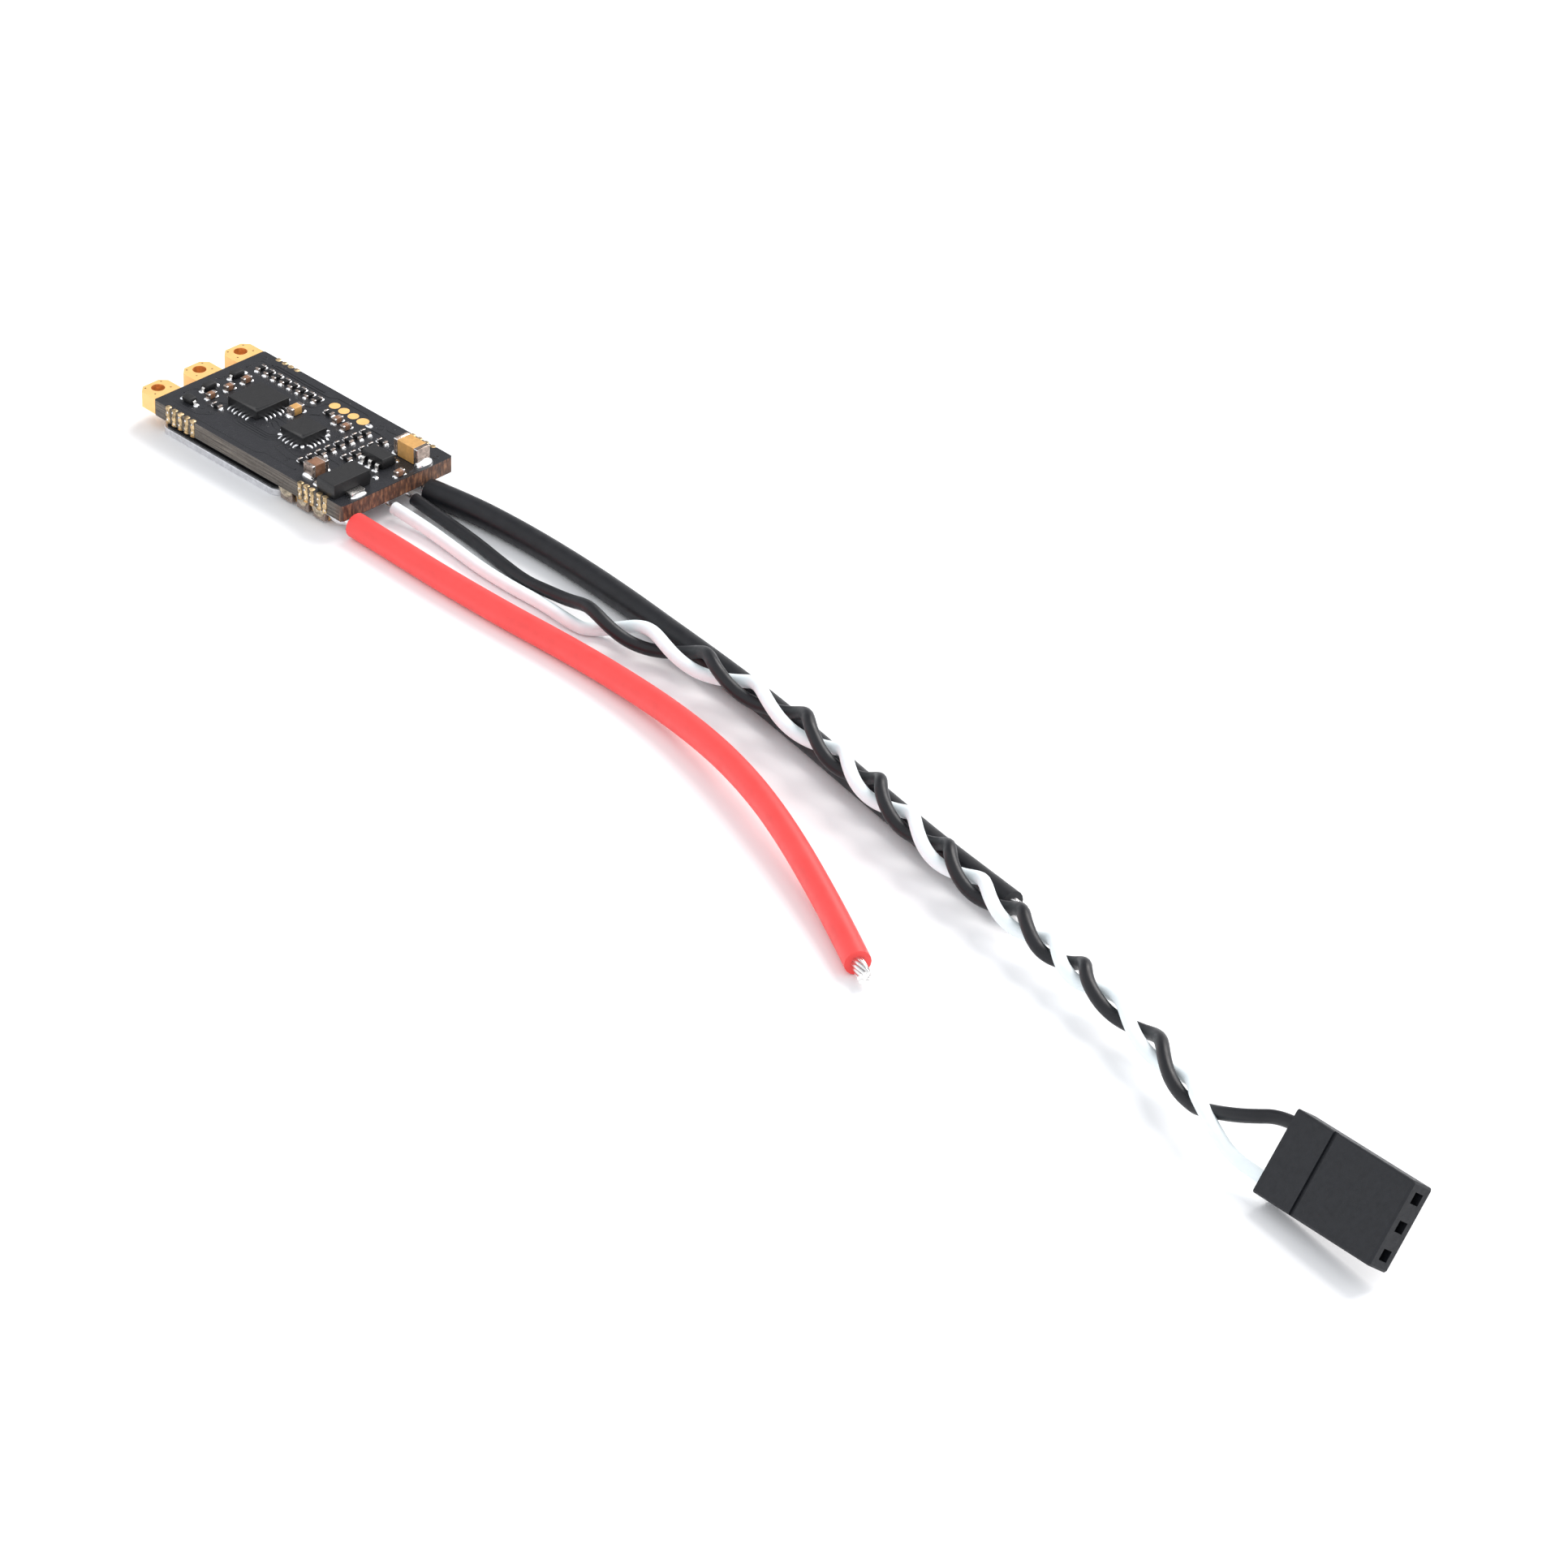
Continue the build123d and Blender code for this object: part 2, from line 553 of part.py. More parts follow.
def tinned_tip(route, radius, length):
    """The stripped and tinned strands past the free end of a power lead."""
    end = Vector(*route[-1])
    way = (end - Vector(*route[-2])).normalized()
    tip = extrude(Circle(radius), length)
    tip = fillet(tip.faces().sort_by(Axis.Z)[-1].edges(), radius * 0.5)
    return Plane(origin=end, z_dir=way) * tip


# ---------------------------------------------------------------- the plug
def plug_plane():
    """X along the plug from its wire end, Y across it, Z from its showing face inward."""
    along = Vector(1, 0, 0).rotate(Axis.Y, -PLUG_NOSE_UP).rotate(Axis.Z, PLUG_YAW)
    level = Vector(0, -1, 0).rotate(Axis.Z, PLUG_YAW)
    across = level.rotate(Axis((0, 0, 0), tuple(along)), PLUG_LEAN)
    inward = along.cross(across)
    height = -(PLUG_WIDTH * across.Z + PLUG_THICKNESS * inward.Z)
    return Plane(origin=(*PLUG_AT, height), x_dir=along, z_dir=inward)


PLUG = plug_plane()
CAVITY = 1.9                   # square cavity behind each contact
CAVITY_DEPTH = 10.5
CONTACT_START = 0.6            # where the wires end, inside their cavities
CRIMP_END = 3.6
CONTACT_END = 10.3
CONTACT_BORE = 0.8
PIN_HOLE = 1.0
GROOVE_AT = 4.4
GROOVE_WIDTH = 0.45
GROOVE_DEPTH = 0.2
WINDOW_SIZE = (1.6, 1.2)


def plug_row(i):
    """Middle of one of the three ways, across the plug."""
    return PLUG_WIDTH / 2 + (i - 1) * PLUG_PITCH


def plug_box(low, high):
    """A box between two corners in the plug's own frame."""
    size = [b - a for a, b in zip(low, high)]
    middle = [(a + b) / 2 for a, b in zip(low, high)]
    return Pos(*middle) * Box(*size)


def square_along(x_from, x_to, y, side):
    z = PLUG_THICKNESS / 2
    return plug_box((x_from, y - side / 2, z - side / 2), (x_to, y + side / 2, z + side / 2))


def make_plug():
    housing = plug_box((0, 0, 0), (PLUG_LENGTH, PLUG_WIDTH, PLUG_THICKNESS))
    housing = fillet(housing.edges().filter_by(Axis.X), 0.25)
    front_rim = housing.faces().sort_by(Axis.X)[-1].edges()
    housing = chamfer(front_rim, 0.2)
    groove_to = GROOVE_AT + GROOVE_WIDTH
    housing = housing - plug_box((GROOVE_AT, -1, -1), (groove_to, PLUG_WIDTH + 1, GROOVE_DEPTH))
    contacts = []
    for i in range(3):
        y = plug_row(i)
        housing = housing - square_along(-1, CAVITY_DEPTH, y, CAVITY)
        housing = housing - square_along(CAVITY_DEPTH - 1, PLUG_LENGTH + 1, y, PIN_HOLE)
        length, width = WINDOW_SIZE
        window = plug_box(
            (GROOVE_AT + 1.0, y - width / 2, PLUG_THICKNESS - 0.6),
            (GROOVE_AT + 1.0 + length, y + width / 2, PLUG_THICKNESS + 1),
        )
        housing = housing - window
        if i != 1:
            crimp = square_along(CONTACT_START, CRIMP_END, y, 1.4)
            sleeve = square_along(CRIMP_END, CONTACT_END, y, 1.7)
            bore = square_along(CONTACT_START - 1, CONTACT_END + 1, y, CONTACT_BORE)
            contacts.append(crimp + sleeve - bore)
    write("plug_housing", PLUG * housing)
    write("plug_contacts", *[PLUG * contact for contact in contacts])


def wire_entry(i, depth=0.0):
    """Where the wire of one way meets the plug's back face."""
    return tuple(PLUG.from_local_coords((depth, plug_row(i), PLUG_THICKNESS / 2)))


def make_cords():
    cord("positive_lead", POSITIVE_ROUTE, POWER_LEAD_OD)
    cord("negative_lead", NEGATIVE_ROUTE, POWER_LEAD_OD)
    write("positive_lead_tip", tinned_tip(POSITIVE_ROUTE, TIP_RADIUS, POSITIVE_TIP_LENGTH))
    write("negative_lead_tip", tinned_tip(NEGATIVE_ROUTE, TIP_RADIUS, NEGATIVE_TIP_LENGTH))
    cord("white_signal_wire", WHITE_ROUTE, SIGNAL_WIRE_OD)
    cord("black_signal_wire", BLACK_ROUTE, SIGNAL_WIRE_OD)
    cord("signal_pair_twist", PAIR_ROUTE, TWIST_OD)
    white_tail = WHITE_TAIL_ROUTE + [wire_entry(2, -2.0), wire_entry(2, CONTACT_START)]
    black_tail = BLACK_TAIL_ROUTE + [wire_entry(0, -2.0), wire_entry(0, CONTACT_START)]
    for name, route in (("white_signal_tail", white_tail), ("black_signal_tail", black_tail)):
        print(name, [tuple(round(v, 2) for v in point) for point in route])
        cord(name, route, SIGNAL_WIRE_OD)


make_board()
qfn("gate_driver", *GATE_DRIVER)
qfn("microcontroller", *MICROCONTROLLER)
make_passives()
make_leaded_parts()
make_underside()
make_joints()
make_cords()
make_plug()
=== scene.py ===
import math
import random

import bmesh
import bpy
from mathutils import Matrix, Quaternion, Vector


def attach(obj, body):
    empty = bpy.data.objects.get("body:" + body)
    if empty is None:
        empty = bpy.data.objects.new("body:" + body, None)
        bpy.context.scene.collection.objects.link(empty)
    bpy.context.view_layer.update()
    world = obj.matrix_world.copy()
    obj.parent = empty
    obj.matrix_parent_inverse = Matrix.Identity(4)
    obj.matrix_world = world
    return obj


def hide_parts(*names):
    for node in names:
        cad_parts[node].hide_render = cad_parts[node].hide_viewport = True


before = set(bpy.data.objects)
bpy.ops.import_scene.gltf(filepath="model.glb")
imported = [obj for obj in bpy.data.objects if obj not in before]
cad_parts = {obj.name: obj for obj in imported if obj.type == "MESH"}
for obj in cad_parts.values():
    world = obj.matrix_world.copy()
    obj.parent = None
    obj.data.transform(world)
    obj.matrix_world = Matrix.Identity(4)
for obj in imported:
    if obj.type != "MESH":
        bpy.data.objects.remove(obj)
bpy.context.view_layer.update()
MM = 0.001


# ---------------------------------------------------------------- camera
CAMERA_AZIMUTH = 44.94
CAMERA_ELEVATION = 32.91
CAMERA_ROLL = 1.458
CAMERA_TARGET = Vector((70.707, -5.745, 0)) * MM
CAMERA_DISTANCE = 674.8 * MM
CAMERA_LENS = 179.1


def direction(azimuth, elevation):
    """Unit vector that points back along a line of sight."""
    a, e = math.radians(azimuth), math.radians(elevation)
    return Vector((math.sin(a) * math.cos(e), -math.cos(a) * math.cos(e), math.sin(e)))


def make_camera():
    camera = bpy.data.objects.new("camera", bpy.data.cameras.new("camera"))
    bpy.context.scene.collection.objects.link(camera)
    back = direction(CAMERA_AZIMUTH, CAMERA_ELEVATION)
    camera.location = CAMERA_TARGET + back * CAMERA_DISTANCE
    camera.rotation_mode = "QUATERNION"
    roll = Quaternion((0, 0, 1), math.radians(CAMERA_ROLL))
    camera.rotation_quaternion = (-back).to_track_quat("-Z", "Y") @ roll
    camera.data.lens = CAMERA_LENS
    camera.data.sensor_width = 36
    camera.data.clip_start = 0.01
    camera.data.clip_end = 20
    bpy.context.scene.camera = camera


make_camera()


# ---------------------------------------------------------------- materials
def new_material(name):
    material = bpy.data.materials.new(name)
    material.use_nodes = True
    tree = material.node_tree
    return material, tree, tree.nodes["Principled BSDF"]


def noise_of(tree, scale, detail=3.0, rough=0.55, stretch=(1, 1, 1)):
    """Noise in object space; scale is lumps per millimetre."""
    place = tree.nodes.new("ShaderNodeTexCoord")
    mapping = tree.nodes.new("ShaderNodeMapping")
    mapping.inputs["Scale"].default_value = [scale / MM * s for s in stretch]
    texture = tree.nodes.new("ShaderNodeTexNoise")
    texture.inputs["Scale"].default_value = 1
    texture.inputs["Detail"].default_value = detail
    texture.inputs["Roughness"].default_value = rough
    tree.links.new(place.outputs["Object"], mapping.inputs["Vector"])
    tree.links.new(mapping.outputs["Vector"], texture.inputs["Vector"])
    return texture.outputs["Fac"]


def ramp(tree, source, stops):
    node = tree.nodes.new("ShaderNodeValToRGB")
    elements = node.color_ramp.elements
    while len(elements) < len(stops):
        elements.new(0.5)
    for element, (place, colour) in zip(elements, stops):
        element.position = place
        element.color = (*colour, 1)
    tree.links.new(source, node.inputs["Fac"])
    return node.outputs["Color"]


def bump(tree, shader, height, depth):
    """Bump whose height is depth millimetres."""
    node = tree.nodes.new("ShaderNodeBump")
    node.inputs["Distance"].default_value = depth * MM
    tree.links.new(height, node.inputs["Height"])
    tree.links.new(node.outputs["Normal"], shader.inputs["Normal"])


def tinted(colour, factor):
    return tuple(min(1.0, c * factor) for c in colour)


def plain(name, colour, rough, metallic=0.0, vary=0.12, scale=2.0, grain=0.0, grain_scale=12.0, **sockets):
    """A material with uneven colour and roughness and a fine grain."""
    material, tree, shader = new_material(name)
    patches = noise_of(tree, scale)
    stops = [(0.3, tinted(colour, 1 - vary)), (0.7, tinted(colour, 1 + vary))]
    tree.links.new(ramp(tree, patches, stops), shader.inputs["Base Color"])
    gloss = [(0.3, (rough * 0.82,) * 3), (0.7, (min(1, rough * 1.18),) * 3)]
    tree.links.new(ramp(tree, noise_of(tree, scale * 1.7), gloss), shader.inputs["Roughness"])
    shader.inputs["Metallic"].default_value = metallic
    for socket, value in sockets.items():
        shader.inputs[socket.replace("_", " ")].default_value = value
    if grain:
        bump(tree, shader, noise_of(tree, grain_scale), grain)
    return material


# The board's edge is scorched at the power end: from the first X, and fully by the second, in millimetres.
SCORCH_FROM = 13.2
SCORCH_TO = 14.3


def layered(name):
    """Board edge: glass-cloth layers in grey-brown, scorched orange-brown at the power end."""
    material, tree, shader = new_material(name)
    layers = noise_of(tree, 1.0, detail=4, rough=0.7, stretch=(0.2, 0.2, 8))
    cloth = ramp(tree, layers, [(0.30, (0.028, 0.022, 0.019)), (0.48, (0.080, 0.066, 0.054)),
                                (0.62, (0.15, 0.128, 0.105)), (0.78, (0.34, 0.29, 0.23))])
    streaks = noise_of(tree, 1.0, detail=4, stretch=(3.2, 3.2, 0.9))
    scorched = ramp(tree, streaks, [(0.32, (0.034, 0.016, 0.011)), (0.50, (0.115, 0.052, 0.030)),
                                    (0.64, (0.29, 0.135, 0.066)), (0.78, (0.48, 0.29, 0.175))])
    place = tree.nodes.new("ShaderNodeTexCoord")
    apart = tree.nodes.new("ShaderNodeSeparateXYZ")
    tree.links.new(place.outputs["Object"], apart.inputs["Vector"])
    span = tree.nodes.new("ShaderNodeMapRange")
    span.inputs["From Min"].default_value = SCORCH_FROM * MM
    span.inputs["From Max"].default_value = SCORCH_TO * MM
    tree.links.new(apart.outputs["X"], span.inputs["Value"])
    mix = tree.nodes.new("ShaderNodeMix")
    mix.data_type = "RGBA"
    tree.links.new(span.outputs["Result"], mix.inputs["Factor"])
    tree.links.new(cloth, mix.inputs["A"])
    tree.links.new(scorched, mix.inputs["B"])
    tree.links.new(mix.outputs["Result"], shader.inputs["Base Color"])
    gloss = noise_of(tree, 5)
    tree.links.new(ramp(tree, gloss, [(0.3, (0.38,) * 3), (0.7, (0.72,) * 3)]), shader.inputs["Roughness"])
    bump(tree, shader, layers, 0.035)
    return material


MASK = plain("solder_mask", (0.026, 0.0265, 0.030), 0.25, vary=0.08, scale=1.2, grain=0.0012, grain_scale=10,
             Specular_IOR_Level=0.42)
GOLD = plain("gold_plating", (1.0, 0.59, 0.215), 0.38, metallic=0.30, vary=0.04, scale=1.5, grain=0.004,
             grain_scale=9)
EDGE_GOLD = plain("edge_gold", (0.56, 0.41, 0.225), 0.34, metallic=0.7, vary=0.70, scale=2.6, grain=0.02,
                  grain_scale=5)
SOLDER = plain("solder", (0.93, 0.93, 0.94), 0.11, metallic=1.0, vary=0.04, scale=3, grain=0.010,
               grain_scale=3)
# Darker, browner solder with strong uneven patches, for the capacitors under the board.
DARK_BROWN_SOLDER = plain("dark_brown_solder", (0.50, 0.42, 0.31), 0.30, metallic=0.8, vary=0.55, scale=2.4, grain=0.02,
                    grain_scale=5)
TINNED = plain("tinned_lead", (0.72, 0.70, 0.67), 0.27, metallic=1.0, vary=0.18, scale=5, grain=0.005)
END_CAP = plain("end_cap", (0.36, 0.29, 0.25), 0.30, metallic=0.85, vary=0.35, scale=3, grain=0.006)
EPOXY = plain("chip_epoxy", (0.0105, 0.0105, 0.0112), 0.46, vary=0.14, scale=3, grain=0.006, grain_scale=25,
              Specular_IOR_Level=0.42)
GLAZE = plain("resistor_glaze", (0.010, 0.010, 0.011), 0.26, vary=0.2, scale=5, grain=0.003,
              Specular_IOR_Level=0.4)
BROWN_CERAMIC = plain("brown_ceramic", (0.25, 0.125, 0.070), 0.34, vary=0.25, scale=4, grain=0.004)
TAN_CERAMIC = plain("tan_ceramic", (0.60, 0.33, 0.105), 0.36, vary=0.14, scale=2, grain=0.004)
# Near-black pad between board and heat sink. It is partly the pad's own black and partly painted shade for
# the dark gap there.
THERMAL_PAD_AND_SHADE = plain("thermal_rubber", (0.008, 0.008, 0.009), 0.7, vary=0.15, scale=2, grain=0.01,
                Specular_IOR_Level=0.3)
RED_SILICONE = plain("red_silicone", (0.86, 0.064, 0.060), 0.42, vary=0.05, scale=0.5, grain=0.006,
                     grain_scale=5, Specular_IOR_Level=0.45)
BLACK_SILICONE = plain("black_silicone", (0.0070, 0.0075, 0.0100), 0.42, vary=0.2, scale=0.6, grain=0.006,
                       grain_scale=5, Specular_IOR_Level=0.36)
# Silicone with a cyan-blue cast in its colour. The cast is painted light: it cancels the pink light bounced
# onto the wire from the red lead, and the real wire is plain white.
WHITE_SILICONE = plain("white_silicone", (0.83, 0.90, 0.92), 0.42, vary=0.03, scale=0.8, grain=0.004,
                       grain_scale=5, Specular_IOR_Level=0.35)
NYLON = plain("plug_nylon", (0.0085, 0.0095, 0.0125), 0.50, vary=0.15, scale=1.2, grain=0.010, grain_scale=9,
              Specular_IOR_Level=0.36)
BARREL = plain("hole_barrel", (0.74, 0.345, 0.105), 0.36, metallic=0.55, vary=0.25, scale=3, grain=0.01)
CONTACT = plain("contact_metal", (0.83, 0.62, 0.30), 0.30, metallic=1.0, vary=0.1, scale=2)
COPPER = plain("tinned_copper", (0.80, 0.79, 0.78), 0.22, metallic=1.0, vary=0.08, scale=4, grain=0.01)
LAMINATE = layered("laminate")
HEAT_SINK = plain("heat_sink_metal", (0.66, 0.66, 0.68), 0.36, metallic=0.6, vary=0.16, scale=2, grain=0.008,
                  grain_scale=6)


# ---------------------------------------------------------------- mesh helpers, in millimetres
def make_piece(name, bm, material, replaces=(), smooth_below=40):
    """One object from a mesh built in millimetres; it rides on the root body."""
    bmesh.ops.scale(bm, vec=(MM, MM, MM), verts=bm.verts)
    bmesh.ops.recalc_face_normals(bm, faces=bm.faces)
    mesh = bpy.data.meshes.new(name)
    bm.to_mesh(mesh)
    bm.free()
    mesh.shade_smooth()
    mesh.set_sharp_from_angle(angle=math.radians(smooth_below))
    piece = bpy.data.objects.new(name, mesh)
    bpy.context.scene.collection.objects.link(piece)
    piece.data.materials.append(material)
    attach(piece, "root")
    if replaces:
        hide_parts(*replaces)
    return piece


def solids_of(node):
    """(lowest, highest) corner of each separate solid of a CAD node, in millimetres."""
    bm = bmesh.new()
    bm.from_mesh(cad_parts[node].data)
    bmesh.ops.remove_doubles(bm, verts=bm.verts, dist=1e-7)
    left = set(bm.verts)
    boxes = []
    while left:
        todo = [left.pop()]
        low, high = todo[0].co.copy(), todo[0].co.copy()
        while todo:
            vertex = todo.pop()
            low = Vector(map(min, low, vertex.co))
            high = Vector(map(max, high, vertex.co))
            for edge in vertex.link_edges:
                other = edge.other_vert(vertex)
                if other in left:
                    left.remove(other)
                    todo.append(other)
        boxes.append((low / MM, high / MM))
    bm.free()
    return sorted(boxes, key=lambda b: tuple(round(v, 3) for v in (*b[0], *b[1])))


def paint(nodes, material, rounding=0.0, edge_glint=None):
    """Give carried-over CAD nodes a procedural material, and round their edges, in millimetres.

    edge_glint is a second material for the rounded edges alone, a bright metal there as a painted glint.
    """
    for name in nodes:
        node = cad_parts[name]
        node.data.materials.clear()
        node.data.materials.append(material)
        if rounding:
            weld = node.modifiers.new("weld", "WELD")
            weld.merge_threshold = 0.001 * MM
            edges = node.modifiers.new("rounding", "BEVEL")
            edges.width = rounding * MM
            edges.segments = 2
            edges.limit_method = "ANGLE"
            edges.angle_limit = math.radians(40)
            # A bright second material on the rounded edges alone: a painted glint.
            if edge_glint:
                node.data.materials.append(edge_glint)
                edges.material = 1
            node.modifiers.new("normals", "WEIGHTED_NORMAL")


DRAWS = random.Random(11)


def uneven(amount):
    return 1 + DRAWS.uniform(-amount, amount)


def squared(value, power):
    """A cosine or sine pushed outward, so that a round outline turns squarish."""
    return math.copysign(abs(value) ** power, value)


def dome(bm, at, size, turn=0.0, lean=0.0, down=False, power=0.75, rings=5, sides=16):
    """A closed dome with a flat base; size is (half length, half width, height) and turn is radians."""
    x, y, z = at
    a, b, height = size
    way = -1 if down else 1
    cosine, sine = math.cos(turn), math.sin(turn)
    loops = []
    for k in range(1, rings + 1):
        spread = math.sin(math.pi / 2 * k / rings)
        rise = math.cos(math.pi / 2 * k / rings) * height
        loop = []
        for i in range(sides):
            angle = 2 * math.pi * i / sides
            u = a * (spread * squared(math.cos(angle), power) + lean * (1 - spread))
            v = b * spread * squared(math.sin(angle), power)
            place = (x + u * cosine - v * sine, y + u * sine + v * cosine, z + way * rise)
            loop.append(bm.verts.new(place))
        loops.append(loop)
    peak = bm.verts.new((x + lean * a * cosine, y + lean * a * sine, z + way * height))
    for i in range(sides):
        j = (i + 1) % sides
        bm.faces.new((peak, loops[0][i], loops[0][j]))
        for inner, outer in zip(loops, loops[1:]):
            bm.faces.new((inner[i], outer[i], outer[j], inner[j]))
    bm.faces.new(loops[-1])


def skin(bm, loops, endless=False):
    """Faces from each loop of points to the next, capped at the ends unless it is endless."""
    following = loops[1:] + loops[:1] if endless else loops[1:]
    for first, second in zip(loops, following):
        for i in range(len(first)):
            j = (i + 1) % len(first)
            bm.faces.new((first[i], first[j], second[j], second[i]))
    if not endless:
        bm.faces.new(loops[0])
        bm.faces.new(loops[-1])


def tube(bm, line, radius, sides=8):
    """A closed round tube along a line of points."""
    line = [Vector(p) for p in line]
    normal = (line[1] - line[0]).orthogonal().normalized()
    loops = []
    for before, here, after in zip([line[0], *line], line, [*line[1:], line[-1]]):
        tangent = (after - before).normalized()
        normal = (normal - tangent * normal.dot(tangent)).normalized()
        other = tangent.cross(normal)
        loop = []
        for i in range(sides):
            angle = 2 * math.pi * i / sides
            loop.append(bm.verts.new(here + radius * (math.cos(angle) * normal + math.sin(angle) * other)))
        loops.append(loop)
    skin(bm, loops)


# ---------------------------------------------------------------- cords
POWER_LEAD_OD = 2.4
SIGNAL_WIRE_OD = 1.2
POSITIVE_ROUTE = [
    (14.9, -5.6, 1.2), (20.0, -5.75, 1.2), (27.0, -6.05, 1.2), (35.0, -6.1, 1.2),
    (43.0, -5.9, 1.25), (51.0, -6.2, 1.45), (59.0, -7.2, 1.85), (66.5, -8.95, 2.3),
    (73.5, -11.25, 2.45), (80.0, -13.9, 2.2), (86.5, -16.9, 1.75), (92.0, -19.6, 1.35),
    (95.8, -21.65, 1.2),
]
NEGATIVE_ROUTE = [
    (14.9, 3.35, 1.2), (19.5, 4.15, 1.2), (26.0, 4.4, 1.2), (33.0, 4.2, 1.2),
    (40.0, 3.65, 1.2), (47.0, 2.8, 1.2), (54.0, 1.98, 1.2), (61.0, 0.98, 1.2),
    (68.0, -0.35, 1.2), (75.0, -1.8, 1.2), (82.0, -3.22, 1.2), (89.0, -4.5, 1.2),
    (94.0, -5.22, 1.2), (98.3, -5.85, 1.2),
]
PAIR_ROUTE = [
    (40.5, -1.65, 1.6), (46.0, -0.5, 1.9), (52.0, -0.35, 2.45), (58.5, -0.75, 3.0),
    (65.0, -1.45, 3.4), (71.5, -2.65, 3.6), (78.0, -4.1, 3.5), (84.5, -5.55, 3.3),
    (91.0, -7.0, 2.95), (97.5, -8.25, 2.75), (104.0, -9.45, 2.8), (110.5, -10.7, 2.75),
    (116.5, -12.1, 2.65), (122.0, -13.8, 2.75), (127.0, -16.0, 3.05), (131.6, -18.1, 3.4),
]
WHITE_ROUTE = [
    (14.9, -0.95, 1.15), (18.7, -0.8, 0.85), (23.0, -1.15, 0.68), (27.4, -1.7, 0.64),
    (31.6, -1.85, 0.64), (35.4, -1.75, 0.68), (38.2, -2.05, 0.8),
]
BLACK_ROUTE = [
    (15.0, 1.45, 1.15), (19.0, 1.25, 0.9), (23.5, 0.95, 0.75), (28.0, 0.2, 0.72),
    (32.0, -0.5, 0.85), (35.6, -0.72, 1.4), (38.2, -0.85, 1.8),
]
WHITE_TAIL_ROUTE = [
    (134.2, -19.35, 3.15), (136.6, -20.0, 2.3), (138.8, -19.65, 1.64), (141.37, -19.97, 1.84),
]
BLACK_TAIL_ROUTE = [
    (133.9, -18.05, 4.0), (136.3, -17.75, 4.85), (138.88, -16.44, 5.57), (141.46, -16.76, 5.78),
]
# Where the black wire passes in front of the white one along the twist, as X in millimetres.
BLACK_FRONTS = [43.9, 58.2, 72.0, 82.7, 93.4, 104.3, 112.7, 125.2]
TURN_POINTS = 16
# The twist's radius, in millimetres, and the X from which its extra looseness fades.
CLOSE_RADIUS = 0.68
LOOSE_EXTRA = 0.38
LOOSE_FROM = 41
LOOSE_FADE = 9
# Where along X the upper loops grow slack and draw in again, and the share of slack that is lost by the plug.
SLACK_FROM = 46
SLACK_RISE = 16
SLACK_MOST = 86
SLACK_FALL = 26
SLACK_LOST = 0.65


def nurbs(name, points, bevel=0.0, resolution=12):
    """A smooth open curve whose control points are the route."""
    curve = bpy.data.curves.new(name, "CURVE")
    curve.dimensions = "3D"
    spline = curve.splines.new("NURBS")
    spline.points.add(len(points) - 1)
    for point, place in zip(spline.points, points):
        point.co = (*(Vector(place) * MM), 1)
    spline.order_u = 3
    spline.use_endpoint_u = True
    spline.resolution_u = resolution
    curve.bevel_depth = bevel * MM
    curve.bevel_resolution = 7
    curve.use_fill_caps = True
    curve.use_path = False
    return curve


def points_along(route, resolution=40):
    """Points of a route's own smooth line, in millimetres."""
    bare = bpy.data.objects.new("bare", nurbs("bare", route, resolution=resolution))
    mesh = bpy.data.meshes.new_from_object(bare)
    line = [v.co / MM for v in mesh.vertices]
    bpy.data.meshes.remove(mesh)
    bpy.data.curves.remove(bare.data)
    return line


def make_cord(name, route, diameter, material, slot, replaces, **facts):
    curve = nurbs(name, route, diameter / 2)
    piece = bpy.data.objects.new(name, curve)
    bpy.context.scene.collection.objects.link(piece)
    curve.materials.append(material)
    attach(piece, "root")
    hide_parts(*replaces)


def twist_phase(x):
    """Turns made by the black wire at x, smoothly between its front crossings."""
    fronts = BLACK_FRONTS
    i = max(0, min(len(fronts) - 2, sum(x > f for f in fronts) - 1))
    return i + (x - fronts[i]) / (fronts[i + 1] - fronts[i])


def twist_radius(x):
    """Wire centre to twist centre: loose where the pair starts, then close."""
    return CLOSE_RADIUS + LOOSE_EXTRA * math.exp(-(x - LOOSE_FROM) / LOOSE_FADE)


def slackness(x):
    """How loose the upper loops are at x: none at the start, most before the middle, less at the plug."""
    rising = min(1.0, max(0.0, (x - SLACK_FROM) / SLACK_RISE))
    falling = min(1.0, max(0.0, (x - SLACK_MOST) / SLACK_FALL))
    return rising * rising * (3 - 2 * rising) * (1 - SLACK_LOST * falling)


def twisted(half_turns, slack):
    """Points of one wire of the pair, round the middle of the twist; slack lifts its upper loops."""
    line = points_along(PAIR_ROUTE)
    back = direction(CAMERA_AZIMUTH, CAMERA_ELEVATION)
    made = []
    last = None
    for before, here, after in zip(line, line[1:], line[2:]):
        phase = twist_phase(here.x)
        if last is not None and phase - last < 1 / TURN_POINTS:
            continue
        last = phase
        tangent = (after - before).normalized()
        front = (back - tangent * back.dot(tangent)).normalized()
        lower = tangent.cross(front)
        angle = 2 * math.pi * phase + math.pi * half_turns
        reach = twist_radius(here.x) * (1 + slack * slackness(here.x) * max(0.0, -math.sin(angle)))
        made.append(tuple(here + reach * (math.cos(angle) * front + math.sin(angle) * lower)))
    return made


# Stripped ends of the power leads, in millimetres; the twist is in radians over the stripped length.
STRANDS = 9
STRAND_RADIUS = 0.22
STRAND_CIRCLE = 0.44
STRAND_TWIST = 1.5
STRAND_STEPS = 12
UNEVEN_ENDS = 0.16
FLARE = 0.16
CORE_SHARE = 0.9
START_INSIDE = 0.2


